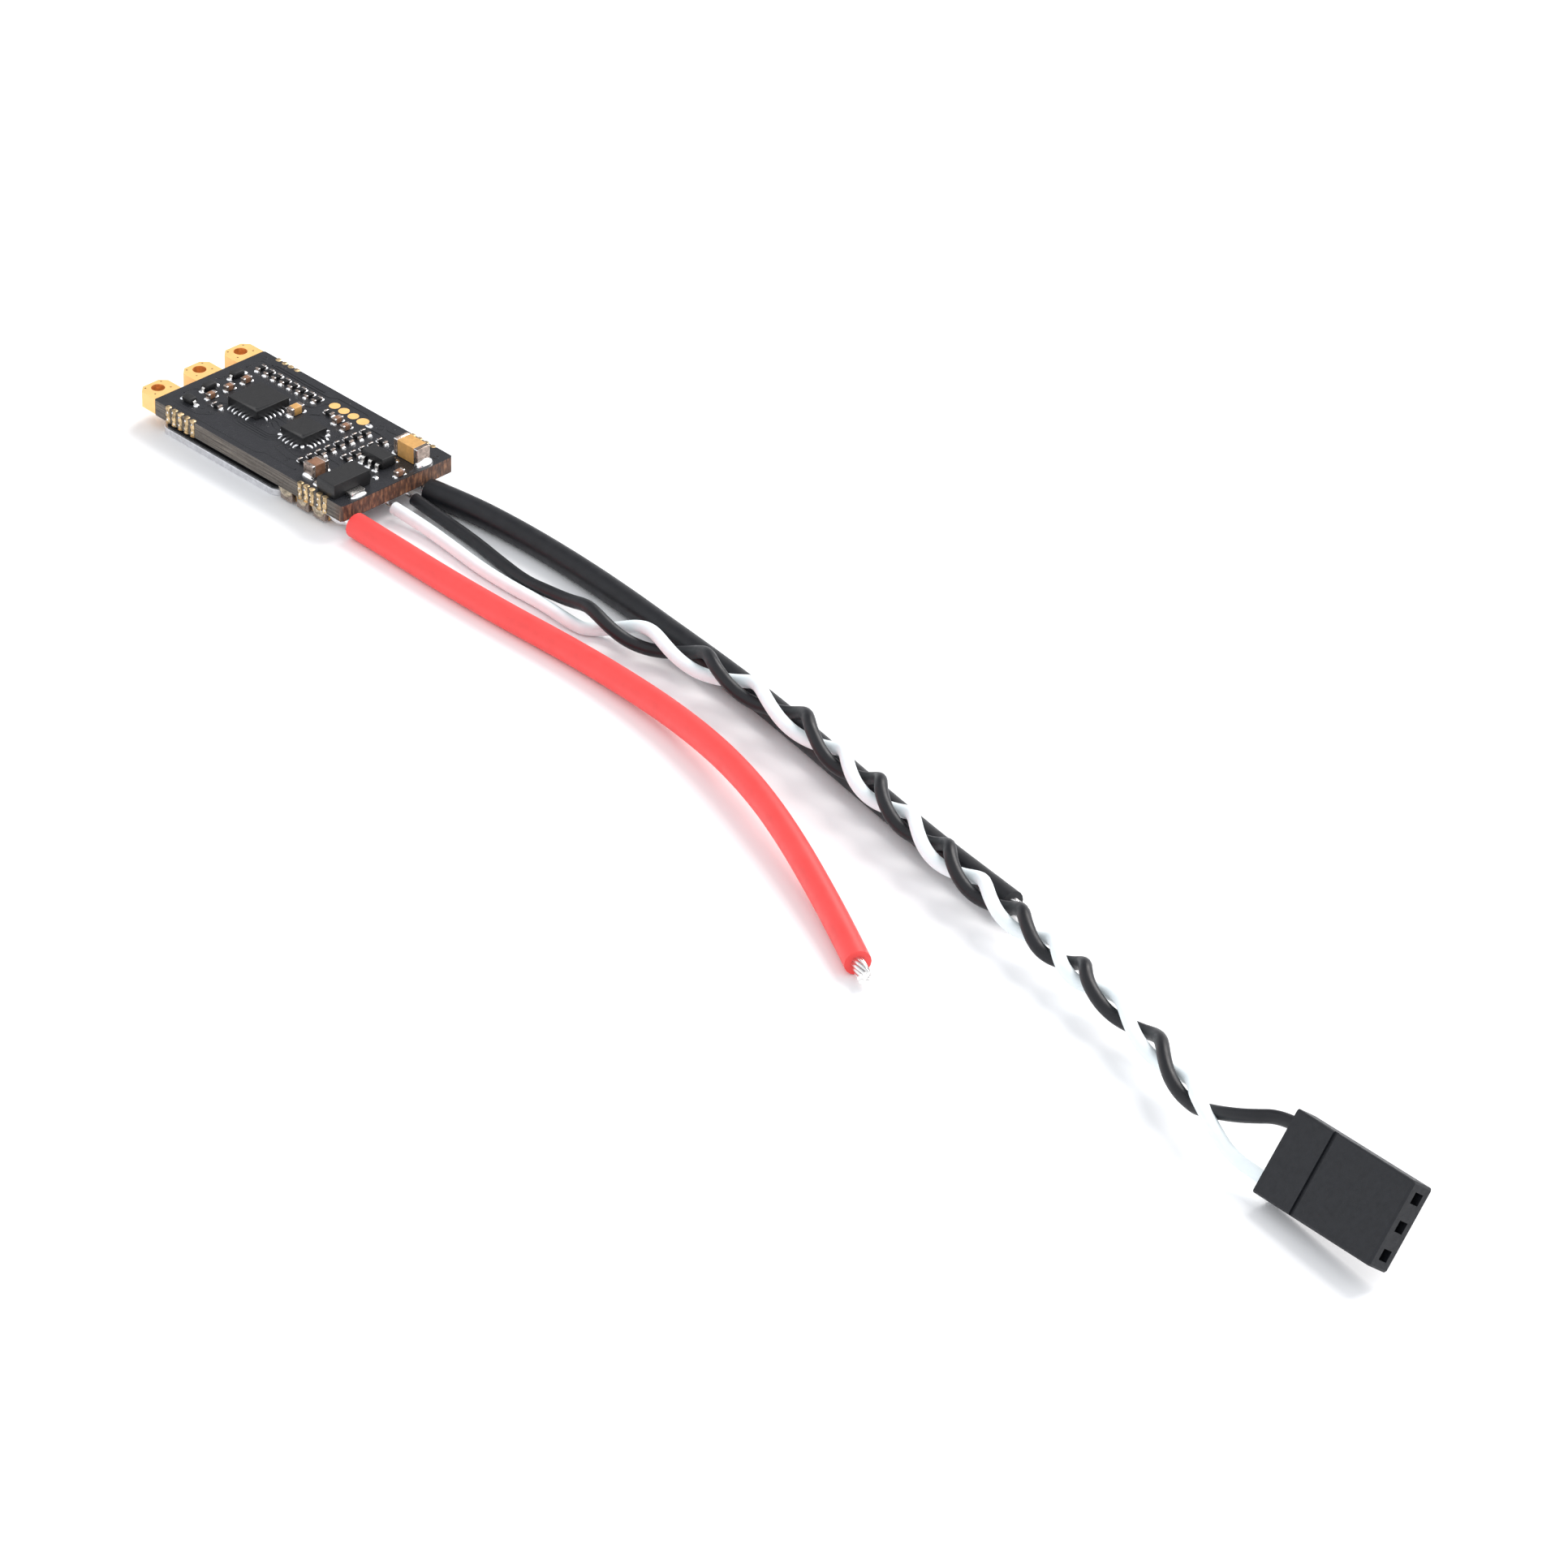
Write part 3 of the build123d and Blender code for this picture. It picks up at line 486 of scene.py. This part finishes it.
def stripped_tip(name, route, node, length):
    """The tinned, twisted strands past the free end of a power lead."""
    end = Vector(route[-1])
    way = (end - Vector(route[-2])).normalized()
    side = way.cross(Vector((0, 0, 1))).normalized()
    up = side.cross(way)
    bm = bmesh.new()
    for i in range(STRANDS):
        start = 2 * math.pi * i / STRANDS
        own_length = length * (1 - DRAWS.uniform(0.0, UNEVEN_ENDS))
        line = []
        for k in range(STRAND_STEPS + 1):
            t = k / STRAND_STEPS
            angle = start + STRAND_TWIST * t
            out = STRAND_CIRCLE * (1 + FLARE * t * math.sin(3 * start))
            outwards = out * (math.cos(angle) * side + math.sin(angle) * up)
            line.append(end + way * (own_length * t - START_INSIDE) + outwards)
        tube(bm, line, STRAND_RADIUS)
    core = [
        end + way * (length * CORE_SHARE * k / STRAND_STEPS - START_INSIDE) for k in range(STRAND_STEPS + 1)
    ]
    tube(bm, core, STRAND_CIRCLE * CORE_SHARE, sides=12)
    return make_piece(name, bm, COPPER, [node], smooth_below=60)


positive_tip = stripped_tip("positive_strands", POSITIVE_ROUTE, "positive_lead_tip", 2.6)
negative_tip = stripped_tip("negative_strands", NEGATIVE_ROUTE, "negative_lead_tip", 2.2)
make_cord(
    "positive_insulation", POSITIVE_ROUTE, POWER_LEAD_OD, RED_SILICONE, "red_silicone", ["positive_lead"],
    length=0.084, far_end="bare", stiffness="limp", lay="loose", with_pieces=[positive_tip],
)
make_cord(
    "negative_insulation", NEGATIVE_ROUTE, POWER_LEAD_OD, BLACK_SILICONE, "black_silicone",
    ["negative_lead"], length=0.084, far_end="bare", stiffness="limp", lay="loose",
    with_pieces=[negative_tip],
)
plug_pieces = ["plug_housing", "plug_contacts"]
make_cord(
    "white_wire", WHITE_ROUTE + twisted(1, 0.25) + WHITE_TAIL_ROUTE, SIGNAL_WIRE_OD, WHITE_SILICONE,
    "white_silicone", ["white_signal_wire", "signal_pair_twist", "white_signal_tail"],
    length=0.1365, far_end="connector", stiffness="limp", lay="loose", with_pieces=plug_pieces,
)
make_cord(
    "black_wire", BLACK_ROUTE + twisted(0, 0.7) + BLACK_TAIL_ROUTE, SIGNAL_WIRE_OD, BLACK_SILICONE,
    "black_silicone", ["black_signal_wire", "signal_pair_twist", "black_signal_tail"],
    length=0.1375, far_end="connector", stiffness="limp", lay="loose", with_pieces=plug_pieces,
)


# ---------------------------------------------------------------- board detail
MOTOR_END = -11.85
NEAR_EDGE = -6.75
BOARD_BOTTOM = 1.7
BOARD_TOP = 3.3
TAB_HOLE_OUT = 1.42
TAB_HOLE_RADIUS = 0.66
TAB_PITCH = 5.04


def on_board(along, across, height=0.0):
    """A point by its distance from the motor end, from the near edge, and above the top face."""
    return Vector((MOTOR_END + along, NEAR_EDGE + across, BOARD_TOP + height))


def middle(box):
    return (box[0] + box[1]) / 2


def outward(box, bodies):
    """Turn, in quarter steps, from the nearest body to a box beside it."""
    centre = middle(box)
    nearest = min((middle(body) for body in bodies), key=lambda m: (m - centre).to_2d().length)
    away = centre - nearest
    if abs(away.x) > abs(away.y):
        return 0.0 if away.x > 0 else math.pi
    return math.pi / 2 if away.y > 0 else -math.pi / 2


# The small parts carry more solder on their near and power-end sides than on the others.
NEAR_SOLDER = 1.35
FAR_SOLDER = 0.6


def solder_fillets(name, node, bodies, reach, width, height, material=SOLDER, down=False, even=True,
                   power=0.75):
    """Smooth solder where each terminal meets the board, in place of the CAD node's wedges."""
    bm = bmesh.new()
    body_boxes = [box for body in bodies for box in solids_of(body)]
    for low, high in solids_of(node):
        centre = middle((low, high))
        if min((middle(body) - centre).to_2d().length for body in body_boxes) < 0.05:
            continue
        turn = outward((low, high), body_boxes)
        size = high - low
        long, wide = (size.x, size.y) if abs(math.cos(turn)) > 0.5 else (size.y, size.x)
        wall = Vector((math.cos(turn), math.sin(turn), 0)) * (-long / 2)
        base = Vector((centre.x, centre.y, high.z if down else low.z)) + wall
        near = math.cos(turn) > 0.5 or math.sin(turn) < -0.5
        much = 1.0 if even else (NEAR_SOLDER if near else FAR_SOLDER)
        half = (long * reach * uneven(0.14), wide / 2 * width * uneven(0.08),
                size.z * height * much * uneven(0.12))
        dome(bm, base, half, turn + DRAWS.uniform(-0.08, 0.08), lean=0.12, down=down, power=power)
    make_piece(name, bm, material, [node], smooth_below=75)


solder_fillets("gate_driver_fillets", "gate_driver_solder", ["gate_driver"], 2.3, 0.76, 0.75, power=0.45)
solder_fillets("microcontroller_fillets", "microcontroller_solder", ["microcontroller"], 2.2, 0.76, 0.72,
               power=0.45)
solder_fillets("chip_resistor_fillets", "chip_resistor_solder", ["chip_resistors"], 1.5, 1.0, 0.78,
               even=False)
solder_fillets("capacitor_fillets", "capacitor_solder",
               ["bootstrap_capacitors", "filter_capacitors", "driver_supply_capacitor",
                "regulator_capacitor", "input_capacitor"], 1.3, 1.08, 0.42, even=False)
solder_fillets("bottom_capacitor_fillets", "bottom_capacitor_solder", ["bottom_capacitors"], 1.0, 1.05, 1.2,
               material=DARK_BROWN_SOLDER, down=True)


# Leads, the part that they belong to, and the solder's half length, half width and height at each foot.
FOOT_SOLDER = [
    ("voltage_regulator_leads", "voltage_regulator", (0.36, 0.36, 0.20)),
    ("logic_chip_leads", "logic_chip", (0.26, 0.24, 0.15)),
    ("bootstrap_diode_leads", "bootstrap_diodes", (0.24, 0.24, 0.16)),
]
FOOT_OVERLAP = 0.08
FOOT_MARGIN = 0.12
# The microcontroller's corner joints lie just outside its corners, 1.5 mm from its middle each way.
CORNER_JOINT_OUT = 1.52
CORNER_JOINT_SIZE = (0.30, 0.20, 0.20)
# Joints with no part on them, by their distance from the motor end and from the near edge.
SPARE_JOINTS = [(21.65, 1.05), (17.0, 11.45), (19.3, 3.95), (24.35, 5.7)]
SPARE_JOINT_SIZE = (0.36, 0.28, 0.17)


def lead_solder():
    """Solder round the feet of the leaded parts, the microcontroller's corner joints and the spare joints."""
    bm = bmesh.new()
    for leads, body, size in FOOT_SOLDER:
        body_boxes = solids_of(body)
        for low, high in solids_of(leads):
            turn = outward((low, high), body_boxes)
            reach = high - low
            long, wide = (reach.x, reach.y) if abs(math.cos(turn)) > 0.5 else (reach.y, reach.x)
            way = Vector((math.cos(turn), math.sin(turn), 0))
            tip = middle((low, high)) + way * (long / 2 - FOOT_OVERLAP)
            half = (size[0] * uneven(0.1), max(size[1], wide / 2 + FOOT_MARGIN), size[2] * uneven(0.1))
            dome(bm, (tip.x, tip.y, BOARD_TOP), half, turn, lean=-0.1)
    chip = middle(solids_of("microcontroller")[0])
    for i, j in ((-1, -1), (1, -1), (-1, 1), (1, 1)):
        place = (chip.x + i * CORNER_JOINT_OUT, chip.y + j * CORNER_JOINT_OUT, BOARD_TOP)
        dome(bm, place, CORNER_JOINT_SIZE, turn=math.atan2(j, i))
    half_length, half_width, height = SPARE_JOINT_SIZE
    for along, across in SPARE_JOINTS:
        dome(bm, on_board(along, across), (half_length * uneven(0.2), half_width * uneven(0.2), height))
    make_piece("lead_fillets", bm, SOLDER, ["tinned_pad"], smooth_below=75)


lead_solder()


# Plating of the half holes: a beaded column, in millimetres.
COLUMN_ROWS = 22
COLUMN_SIDES = 10
COLUMN_HALF_WIDTH = 0.20
COLUMN_PROUD = 0.035
COLUMN_ROOT = 0.2
COLUMN_DRIFT = 0.035
BEADS = 2.6
BEAD_WIDTH = 0.075
BEAD_PROUD = 0.105
RIM_INSET = 0.12
DOT_SIZE = (0.085, 0.055, 0.13)
DOT_PROUD = 0.09


def edge_columns():
    """Ridged, plated and partly solder-filled half holes along the two long edges."""
    columns, dots = bmesh.new(), bmesh.new()
    low_z, high_z = BOARD_BOTTOM - 0.03, BOARD_TOP + 0.015
    for box in solids_of("edge_castellations"):
        x = middle(box).x
        side = -1 if middle(box).y < 0 else 1
        edge = side * -NEAR_EDGE
        start = DRAWS.uniform(0, 6)
        loops = []
        for k in range(COLUMN_ROWS + 1):
            t = k / COLUMN_ROWS
            z = low_z + t * (high_z - low_z)
            bead = abs(math.sin(math.pi * (BEADS * t + 0.16 * start)))
            wide = COLUMN_HALF_WIDTH + BEAD_WIDTH * bead * uneven(0.15)
            proud = COLUMN_PROUD + BEAD_PROUD * bead * uneven(0.2)
            drift = COLUMN_DRIFT * math.sin(5 * t + start)
            places = [(x + drift - wide, edge - side * COLUMN_ROOT, z)]
            for i in range(COLUMN_SIDES + 1):
                angle = math.pi * i / COLUMN_SIDES
                places.append((x + drift - wide * math.cos(angle), edge + side * proud * math.sin(angle), z))
            places.append((x + drift + wide, edge - side * COLUMN_ROOT, z))
            loops.append([columns.verts.new(place) for place in places])
        skin(columns, loops)
        rim_y = edge - side * RIM_INSET
        dome(columns, (x, rim_y, BOARD_TOP - 0.01), (0.30, 0.26, 0.06 * uneven(0.3)))
        dome(columns, (x, rim_y, BOARD_BOTTOM + 0.01), (0.32, 0.30, 0.08), down=True)
        for t in (DRAWS.uniform(0.12, 0.35), DRAWS.uniform(0.6, 0.9)):
            across = edge + side * DOT_PROUD
            place = Vector((x + DRAWS.uniform(-0.12, 0.12), across, low_z + t * (high_z - low_z)))
            made = bmesh.ops.create_icosphere(dots, subdivisions=2, radius=1)["verts"]
            size = (DOT_SIZE[0], DOT_SIZE[1], DOT_SIZE[2] * uneven(0.4))
            bmesh.ops.scale(dots, vec=size, verts=made)
            bmesh.ops.translate(dots, vec=place, verts=made)
    make_piece("edge_plating", columns, EDGE_GOLD, ["edge_castellations"], smooth_below=70)
    make_piece("edge_solder_dots", dots, SOLDER, smooth_below=75)


edge_columns()


def curved(points, radius=0.32, steps=4):
    """A polyline with each inner corner rounded off."""
    line = [Vector(points[0])]
    for before, corner, after in zip(points, points[1:], points[2:]):
        before, corner, after = Vector(before), Vector(corner), Vector(after)
        cut = min(radius, (corner - before).length / 2, (after - corner).length / 2)
        start = corner + (before - corner).normalized() * cut
        end = corner + (after - corner).normalized() * cut
        for k in range(steps + 1):
            t = k / steps
            line.append(start * (1 - t) ** 2 + corner * 2 * t * (1 - t) + end * t ** 2)
    line.append(Vector(points[-1]))
    return line


# How far the relief's shapes start below the mask's face.
SUNK = 0.01


def trace(bm, points, width=0.19, height=0.06):
    """A low ridge of coated copper on the top face, along points on the board."""
    line = curved([(a, b, 0) for a, b in points])
    profile = [(-width / 2, -SUNK), (-width * 0.32, height), (width * 0.32, height), (width / 2, -SUNK)]
    loops = []
    for before, here, after in zip([line[0], *line], line, [*line[1:], line[-1]]):
        tangent = (after - before).normalized()
        side = Vector((-tangent.y, tangent.x, 0))
        loops.append([bm.verts.new(on_board(*(here + side * across).xy, up)) for across, up in profile])
    skin(bm, loops)


def ring(bm, along, across, radius, width=0.15, height=0.045, sides=20):
    """A low coated ring, such as the rim of a covered via."""
    profile = [(radius - width / 2, -SUNK), (radius - width * 0.3, height),
               (radius + width * 0.3, height), (radius + width / 2, -SUNK)]
    loops = []
    for i in range(sides):
        angle = 2 * math.pi * i / sides
        loops.append([
            bm.verts.new(on_board(along + r * math.cos(angle), across + r * math.sin(angle), up))
            for r, up in profile
        ])
    skin(bm, loops, endless=True)


# Tracks under the mask, as points by their distance from the motor end and from the near edge.
TRACES = [
    [(1.3, 1.25), (4.6, 1.25), (5.6, 2.2), (5.6, 2.9)],
    [(3.5, 2.2), (4.3, 2.2), (4.3, 3.9), (5.1, 4.6)],
    [(0.9, 2.9), (0.9, 4.1), (1.4, 4.4)],
    [(4.2, 3.0), (3.9, 3.5), (3.9, 4.0)],
    [(8.4, 4.2), (8.9, 3.75), (12.0, 3.75), (12.6, 4.6)],
    [(7.9, 4.2), (8.55, 3.45), (12.15, 3.45), (12.75, 4.1)],
    [(7.4, 4.2), (8.2, 3.15), (12.3, 3.15), (13.1, 4.1)],
    [(6.9, 4.2), (7.85, 2.85), (12.45, 2.85), (13.45, 4.1)],
    [(9.6, 5.3), (10.6, 5.3), (11.2, 4.9), (12.4, 4.9)],
    [(9.6, 5.8), (10.8, 5.8), (11.4, 5.4), (12.4, 5.4)],
    [(9.6, 6.3), (12.3, 6.3)],
    [(14.0, 4.1), (14.0, 2.6), (16.4, 2.2), (17.2, 2.6)],
    [(14.6, 4.1), (14.6, 3.3), (16.6, 3.0), (17.2, 3.7)],
    [(15.1, 4.1), (15.6, 3.7), (16.7, 4.3), (17.2, 4.8)],
    [(16.1, 5.5), (16.7, 5.9), (17.2, 5.9)],
    [(16.1, 6.1), (16.6, 7.05), (17.2, 7.05)],
    [(11.7, 7.2), (11.7, 8.9), (12.5, 9.5)],
    [(9.4, 9.2), (11.0, 9.9), (11.2, 11.1), (11.5, 11.6)],
    [(1.2, 10.3), (1.2, 12.2), (10.6, 12.2), (11.2, 12.75), (15.6, 12.75), (16.6, 12.0)],
    [(2.4, 11.8), (2.9, 12.55), (9.6, 12.55)],
    [(16.9, 11.0), (17.6, 11.2), (19.6, 11.2), (20.6, 10.7), (21.4, 10.7)],
    [(18.7, 12.2), (20.6, 12.4), (21.7, 12.0)],
    [(18.7, 7.6), (19.5, 7.6)],
    [(20.9, 4.6), (20.2, 4.9), (18.8, 4.9)],
    [(2.0, 0.75), (13.4, 0.75), (14.2, 1.3), (18.3, 1.3)],
    [(25.6, 8.6), (25.6, 9.2), (25.2, 9.5)],
    [(0.7, 7.0), (1.2, 7.0), (1.2, 7.6)],
    [(10.5, 6.6), (10.5, 7.1)],
]
# Rims under the mask: distance from the motor end, distance from the near edge, and radius.
RINGS = [(17.9, 12.1, 0.36), (1.05, 12.7, 0.22), (10.3, 4.5, 0.2), (11.8, 6.85, 0.2), (16.5, 8.1, 0.2),
         (12.2, 10.7, 0.18), (18.9, 6.5, 0.16), (5.2, 2.1, 0.18), (16.4, 1.9, 0.2), (25.3, 12.3, 0.24)]

# Covered vias: how many, their half length, half width and height, and where they may be.
VIA_COUNT = 44
VIA_SIZE = (0.13, 0.13, 0.026)
VIA_SUNK = 0.008
VIA_CLEARANCE = 0.35
VIA_ALONG = (0.6, 25.6)
VIA_ACROSS = (0.6, 12.9)


def board_relief():
    """Copper tracks and covered vias that show through the solder mask."""
    bm = bmesh.new()
    for points in TRACES:
        trace(bm, points)
    for along, across, radius in RINGS:
        ring(bm, along, across, radius)
    taken = []
    for node in ("gate_driver", "microcontroller", "voltage_regulator", "logic_chip", "chip_resistors",
                 "chip_resistor_terminals", "capacitor_terminals", "test_pads", "bootstrap_diodes"):
        taken.extend(solids_of(node))
    clear = VIA_CLEARANCE
    vias = 0
    while vias < VIA_COUNT:
        spot = on_board(DRAWS.uniform(*VIA_ALONG), DRAWS.uniform(*VIA_ACROSS), -VIA_SUNK)
        if any(low.x - clear < spot.x < high.x + clear and low.y - clear < spot.y < high.y + clear
               for low, high in taken):
            continue
        dome(bm, spot, VIA_SIZE, power=1.0, rings=3, sides=10)
        vias += 1
    make_piece("mask_relief", bm, MASK, smooth_below=60)


board_relief()


# The wall of a tab's hole: how far it is bedded, stands into the hole, and stops short of each face.
BARREL_BEDDED = 0.004
BARREL_PROUD = 0.016
BARREL_SHORT = 0.04
BARREL_SIDES = 48


def hole_barrels():
    """The darker plated wall inside each phase tab's hole."""
    bm = bmesh.new()
    outer, inner = TAB_HOLE_RADIUS + BARREL_BEDDED, TAB_HOLE_RADIUS - BARREL_PROUD
    low, high = BOARD_BOTTOM + BARREL_SHORT, BOARD_TOP - BARREL_SHORT
    wall = [(outer, low), (inner, low), (inner, high), (outer, high)]
    for i in (-1, 0, 1):
        x, y = MOTOR_END - TAB_HOLE_OUT, i * TAB_PITCH
        loops = []
        for k in range(BARREL_SIDES):
            angle = 2 * math.pi * k / BARREL_SIDES
            u, v = math.cos(angle), math.sin(angle)
            loops.append([bm.verts.new((x + r * u, y + r * v, z)) for r, z in wall])
        skin(bm, loops, endless=True)
    make_piece("hole_barrels", bm, BARREL, smooth_below=50)


hole_barrels()


JOINTS = [("positive_joint", "positive_solder_joint"), ("negative_joint", "negative_solder_joint"),
          ("signal_joints", "signal_solder_joints")]
LUMPS = 3
LUMP_SHARE = 0.24


def underside_joints():
    """Lumpy solder round the leads' stripped ends, in place of the CAD blocks."""
    for name, node in JOINTS:
        bm = bmesh.new()
        for low, high in solids_of(node):
            size = high - low
            place = Vector((middle((low, high)).x, middle((low, high)).y, high.z))
            dome(bm, place, (size.x / 2, size.y / 2, size.z * 0.96), down=True, power=0.85, rings=7, sides=24)
            for _ in range(LUMPS):
                off = Vector((DRAWS.uniform(-0.25, 0.25) * size.x, DRAWS.uniform(-0.2, 0.2) * size.y, 0))
                lump = (size.x * LUMP_SHARE, size.y * LUMP_SHARE, size.z * 0.99)
                dome(bm, place + off, lump, down=True, power=1.0)
        make_piece(name, bm, SOLDER, [node], smooth_below=75)


underside_joints()


# ---------------------------------------------------------------- carried-over CAD nodes
def capped(nodes, rounding):
    """End caps of chip parts: dull faces, with bright solder on the rounded edges as a painted glint."""
    paint(nodes, END_CAP, rounding, edge_glint=SOLDER)


paint(["board_laminate"], LAMINATE)
paint(["solder_mask_top", "solder_mask_bottom"], MASK)
paint(["test_pads"], GOLD)
paint(["phase_tab_a", "phase_tab_b", "phase_tab_c"], GOLD)
paint(["gate_driver", "microcontroller"], EPOXY, 0.03)
paint(["voltage_regulator", "logic_chip", "bootstrap_diodes", "power_transistors"], EPOXY, 0.05)
paint(["chip_resistors"], GLAZE, 0.02)
paint(["bootstrap_capacitors", "filter_capacitors", "regulator_capacitor"], BROWN_CERAMIC, 0.05)
paint(["driver_supply_capacitor", "input_capacitor", "bottom_capacitors"], TAN_CERAMIC, 0.06)
capped(["chip_resistor_terminals"], 0.035)
capped(["capacitor_terminals"], 0.06)
capped(["bottom_capacitor_terminals"], 0.09)
paint(["heat_sink_plate"], HEAT_SINK, 0.03)
paint(["thermal_pad"], THERMAL_PAD_AND_SHADE)
paint(["plug_housing"], NYLON, 0.06)
paint(["plug_contacts"], CONTACT)
paint(["lead_pads"], SOLDER)
paint([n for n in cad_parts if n.endswith("_leads")], TINNED, 0.03)
paint([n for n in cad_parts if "conductor" in n], COPPER)


# ---------------------------------------------------------------- floor and light
DARK_SIDE = (-0.60, 0.58, 0.55)    # where the studio is dim, so that level gloss reads dark
STUDIO_STRENGTH = 1.18
SUN_FROM = (-0.10, 1.0, 1.0)
SUN_STRENGTH = 2.55
SUN_WIDTH = 38                     # degrees across, for soft shadows
FLOOR_HALF = 3.0                   # metres


def make_stage():
    floor_mesh = bpy.data.meshes.new("floor")
    half = FLOOR_HALF
    floor_mesh.from_pydata([(-half, -half, 0), (half, -half, 0), (half, half, 0), (-half, half, 0)], [],
                           [(0, 1, 2, 3)])
    floor = bpy.data.objects.new("floor", floor_mesh)
    bpy.context.scene.collection.objects.link(floor)
    material, _, shader = new_material("floor")
    shader.inputs["Base Color"].default_value = (0.95, 0.95, 0.955, 1)
    shader.inputs["Roughness"].default_value = 0.9
    shader.inputs["Specular IOR Level"].default_value = 0.1
    floor.data.materials.append(material)

    sun = bpy.data.objects.new("key", bpy.data.lights.new("key", "SUN"))
    bpy.context.scene.collection.objects.link(sun)
    sun.data.energy = SUN_STRENGTH
    sun.data.color = (1.0, 0.97, 0.95)
    sun.data.angle = math.radians(SUN_WIDTH)
    sun.rotation_mode = "QUATERNION"
    sun.rotation_quaternion = (-Vector(SUN_FROM)).to_track_quat("-Z", "Y")

    world = bpy.data.worlds.new("world")
    bpy.context.scene.world = world
    world.use_nodes = True
    tree = world.node_tree
    background = tree.nodes["Background"]
    place = tree.nodes.new("ShaderNodeTexCoord")
    towards = tree.nodes.new("ShaderNodeVectorMath")
    towards.operation = "DOT_PRODUCT"
    towards.inputs[1].default_value = DARK_SIDE
    tree.links.new(place.outputs["Generated"], towards.inputs[0])
    sky = [(0.62, (0.95, 0.97, 1.0)), (0.95, (0.27, 0.275, 0.29))]
    tree.links.new(ramp(tree, towards.outputs["Value"], sky), background.inputs["Color"])
    background.inputs["Strength"].default_value = STUDIO_STRENGTH
    bpy.context.scene.view_settings.view_transform = "Standard"


make_stage()
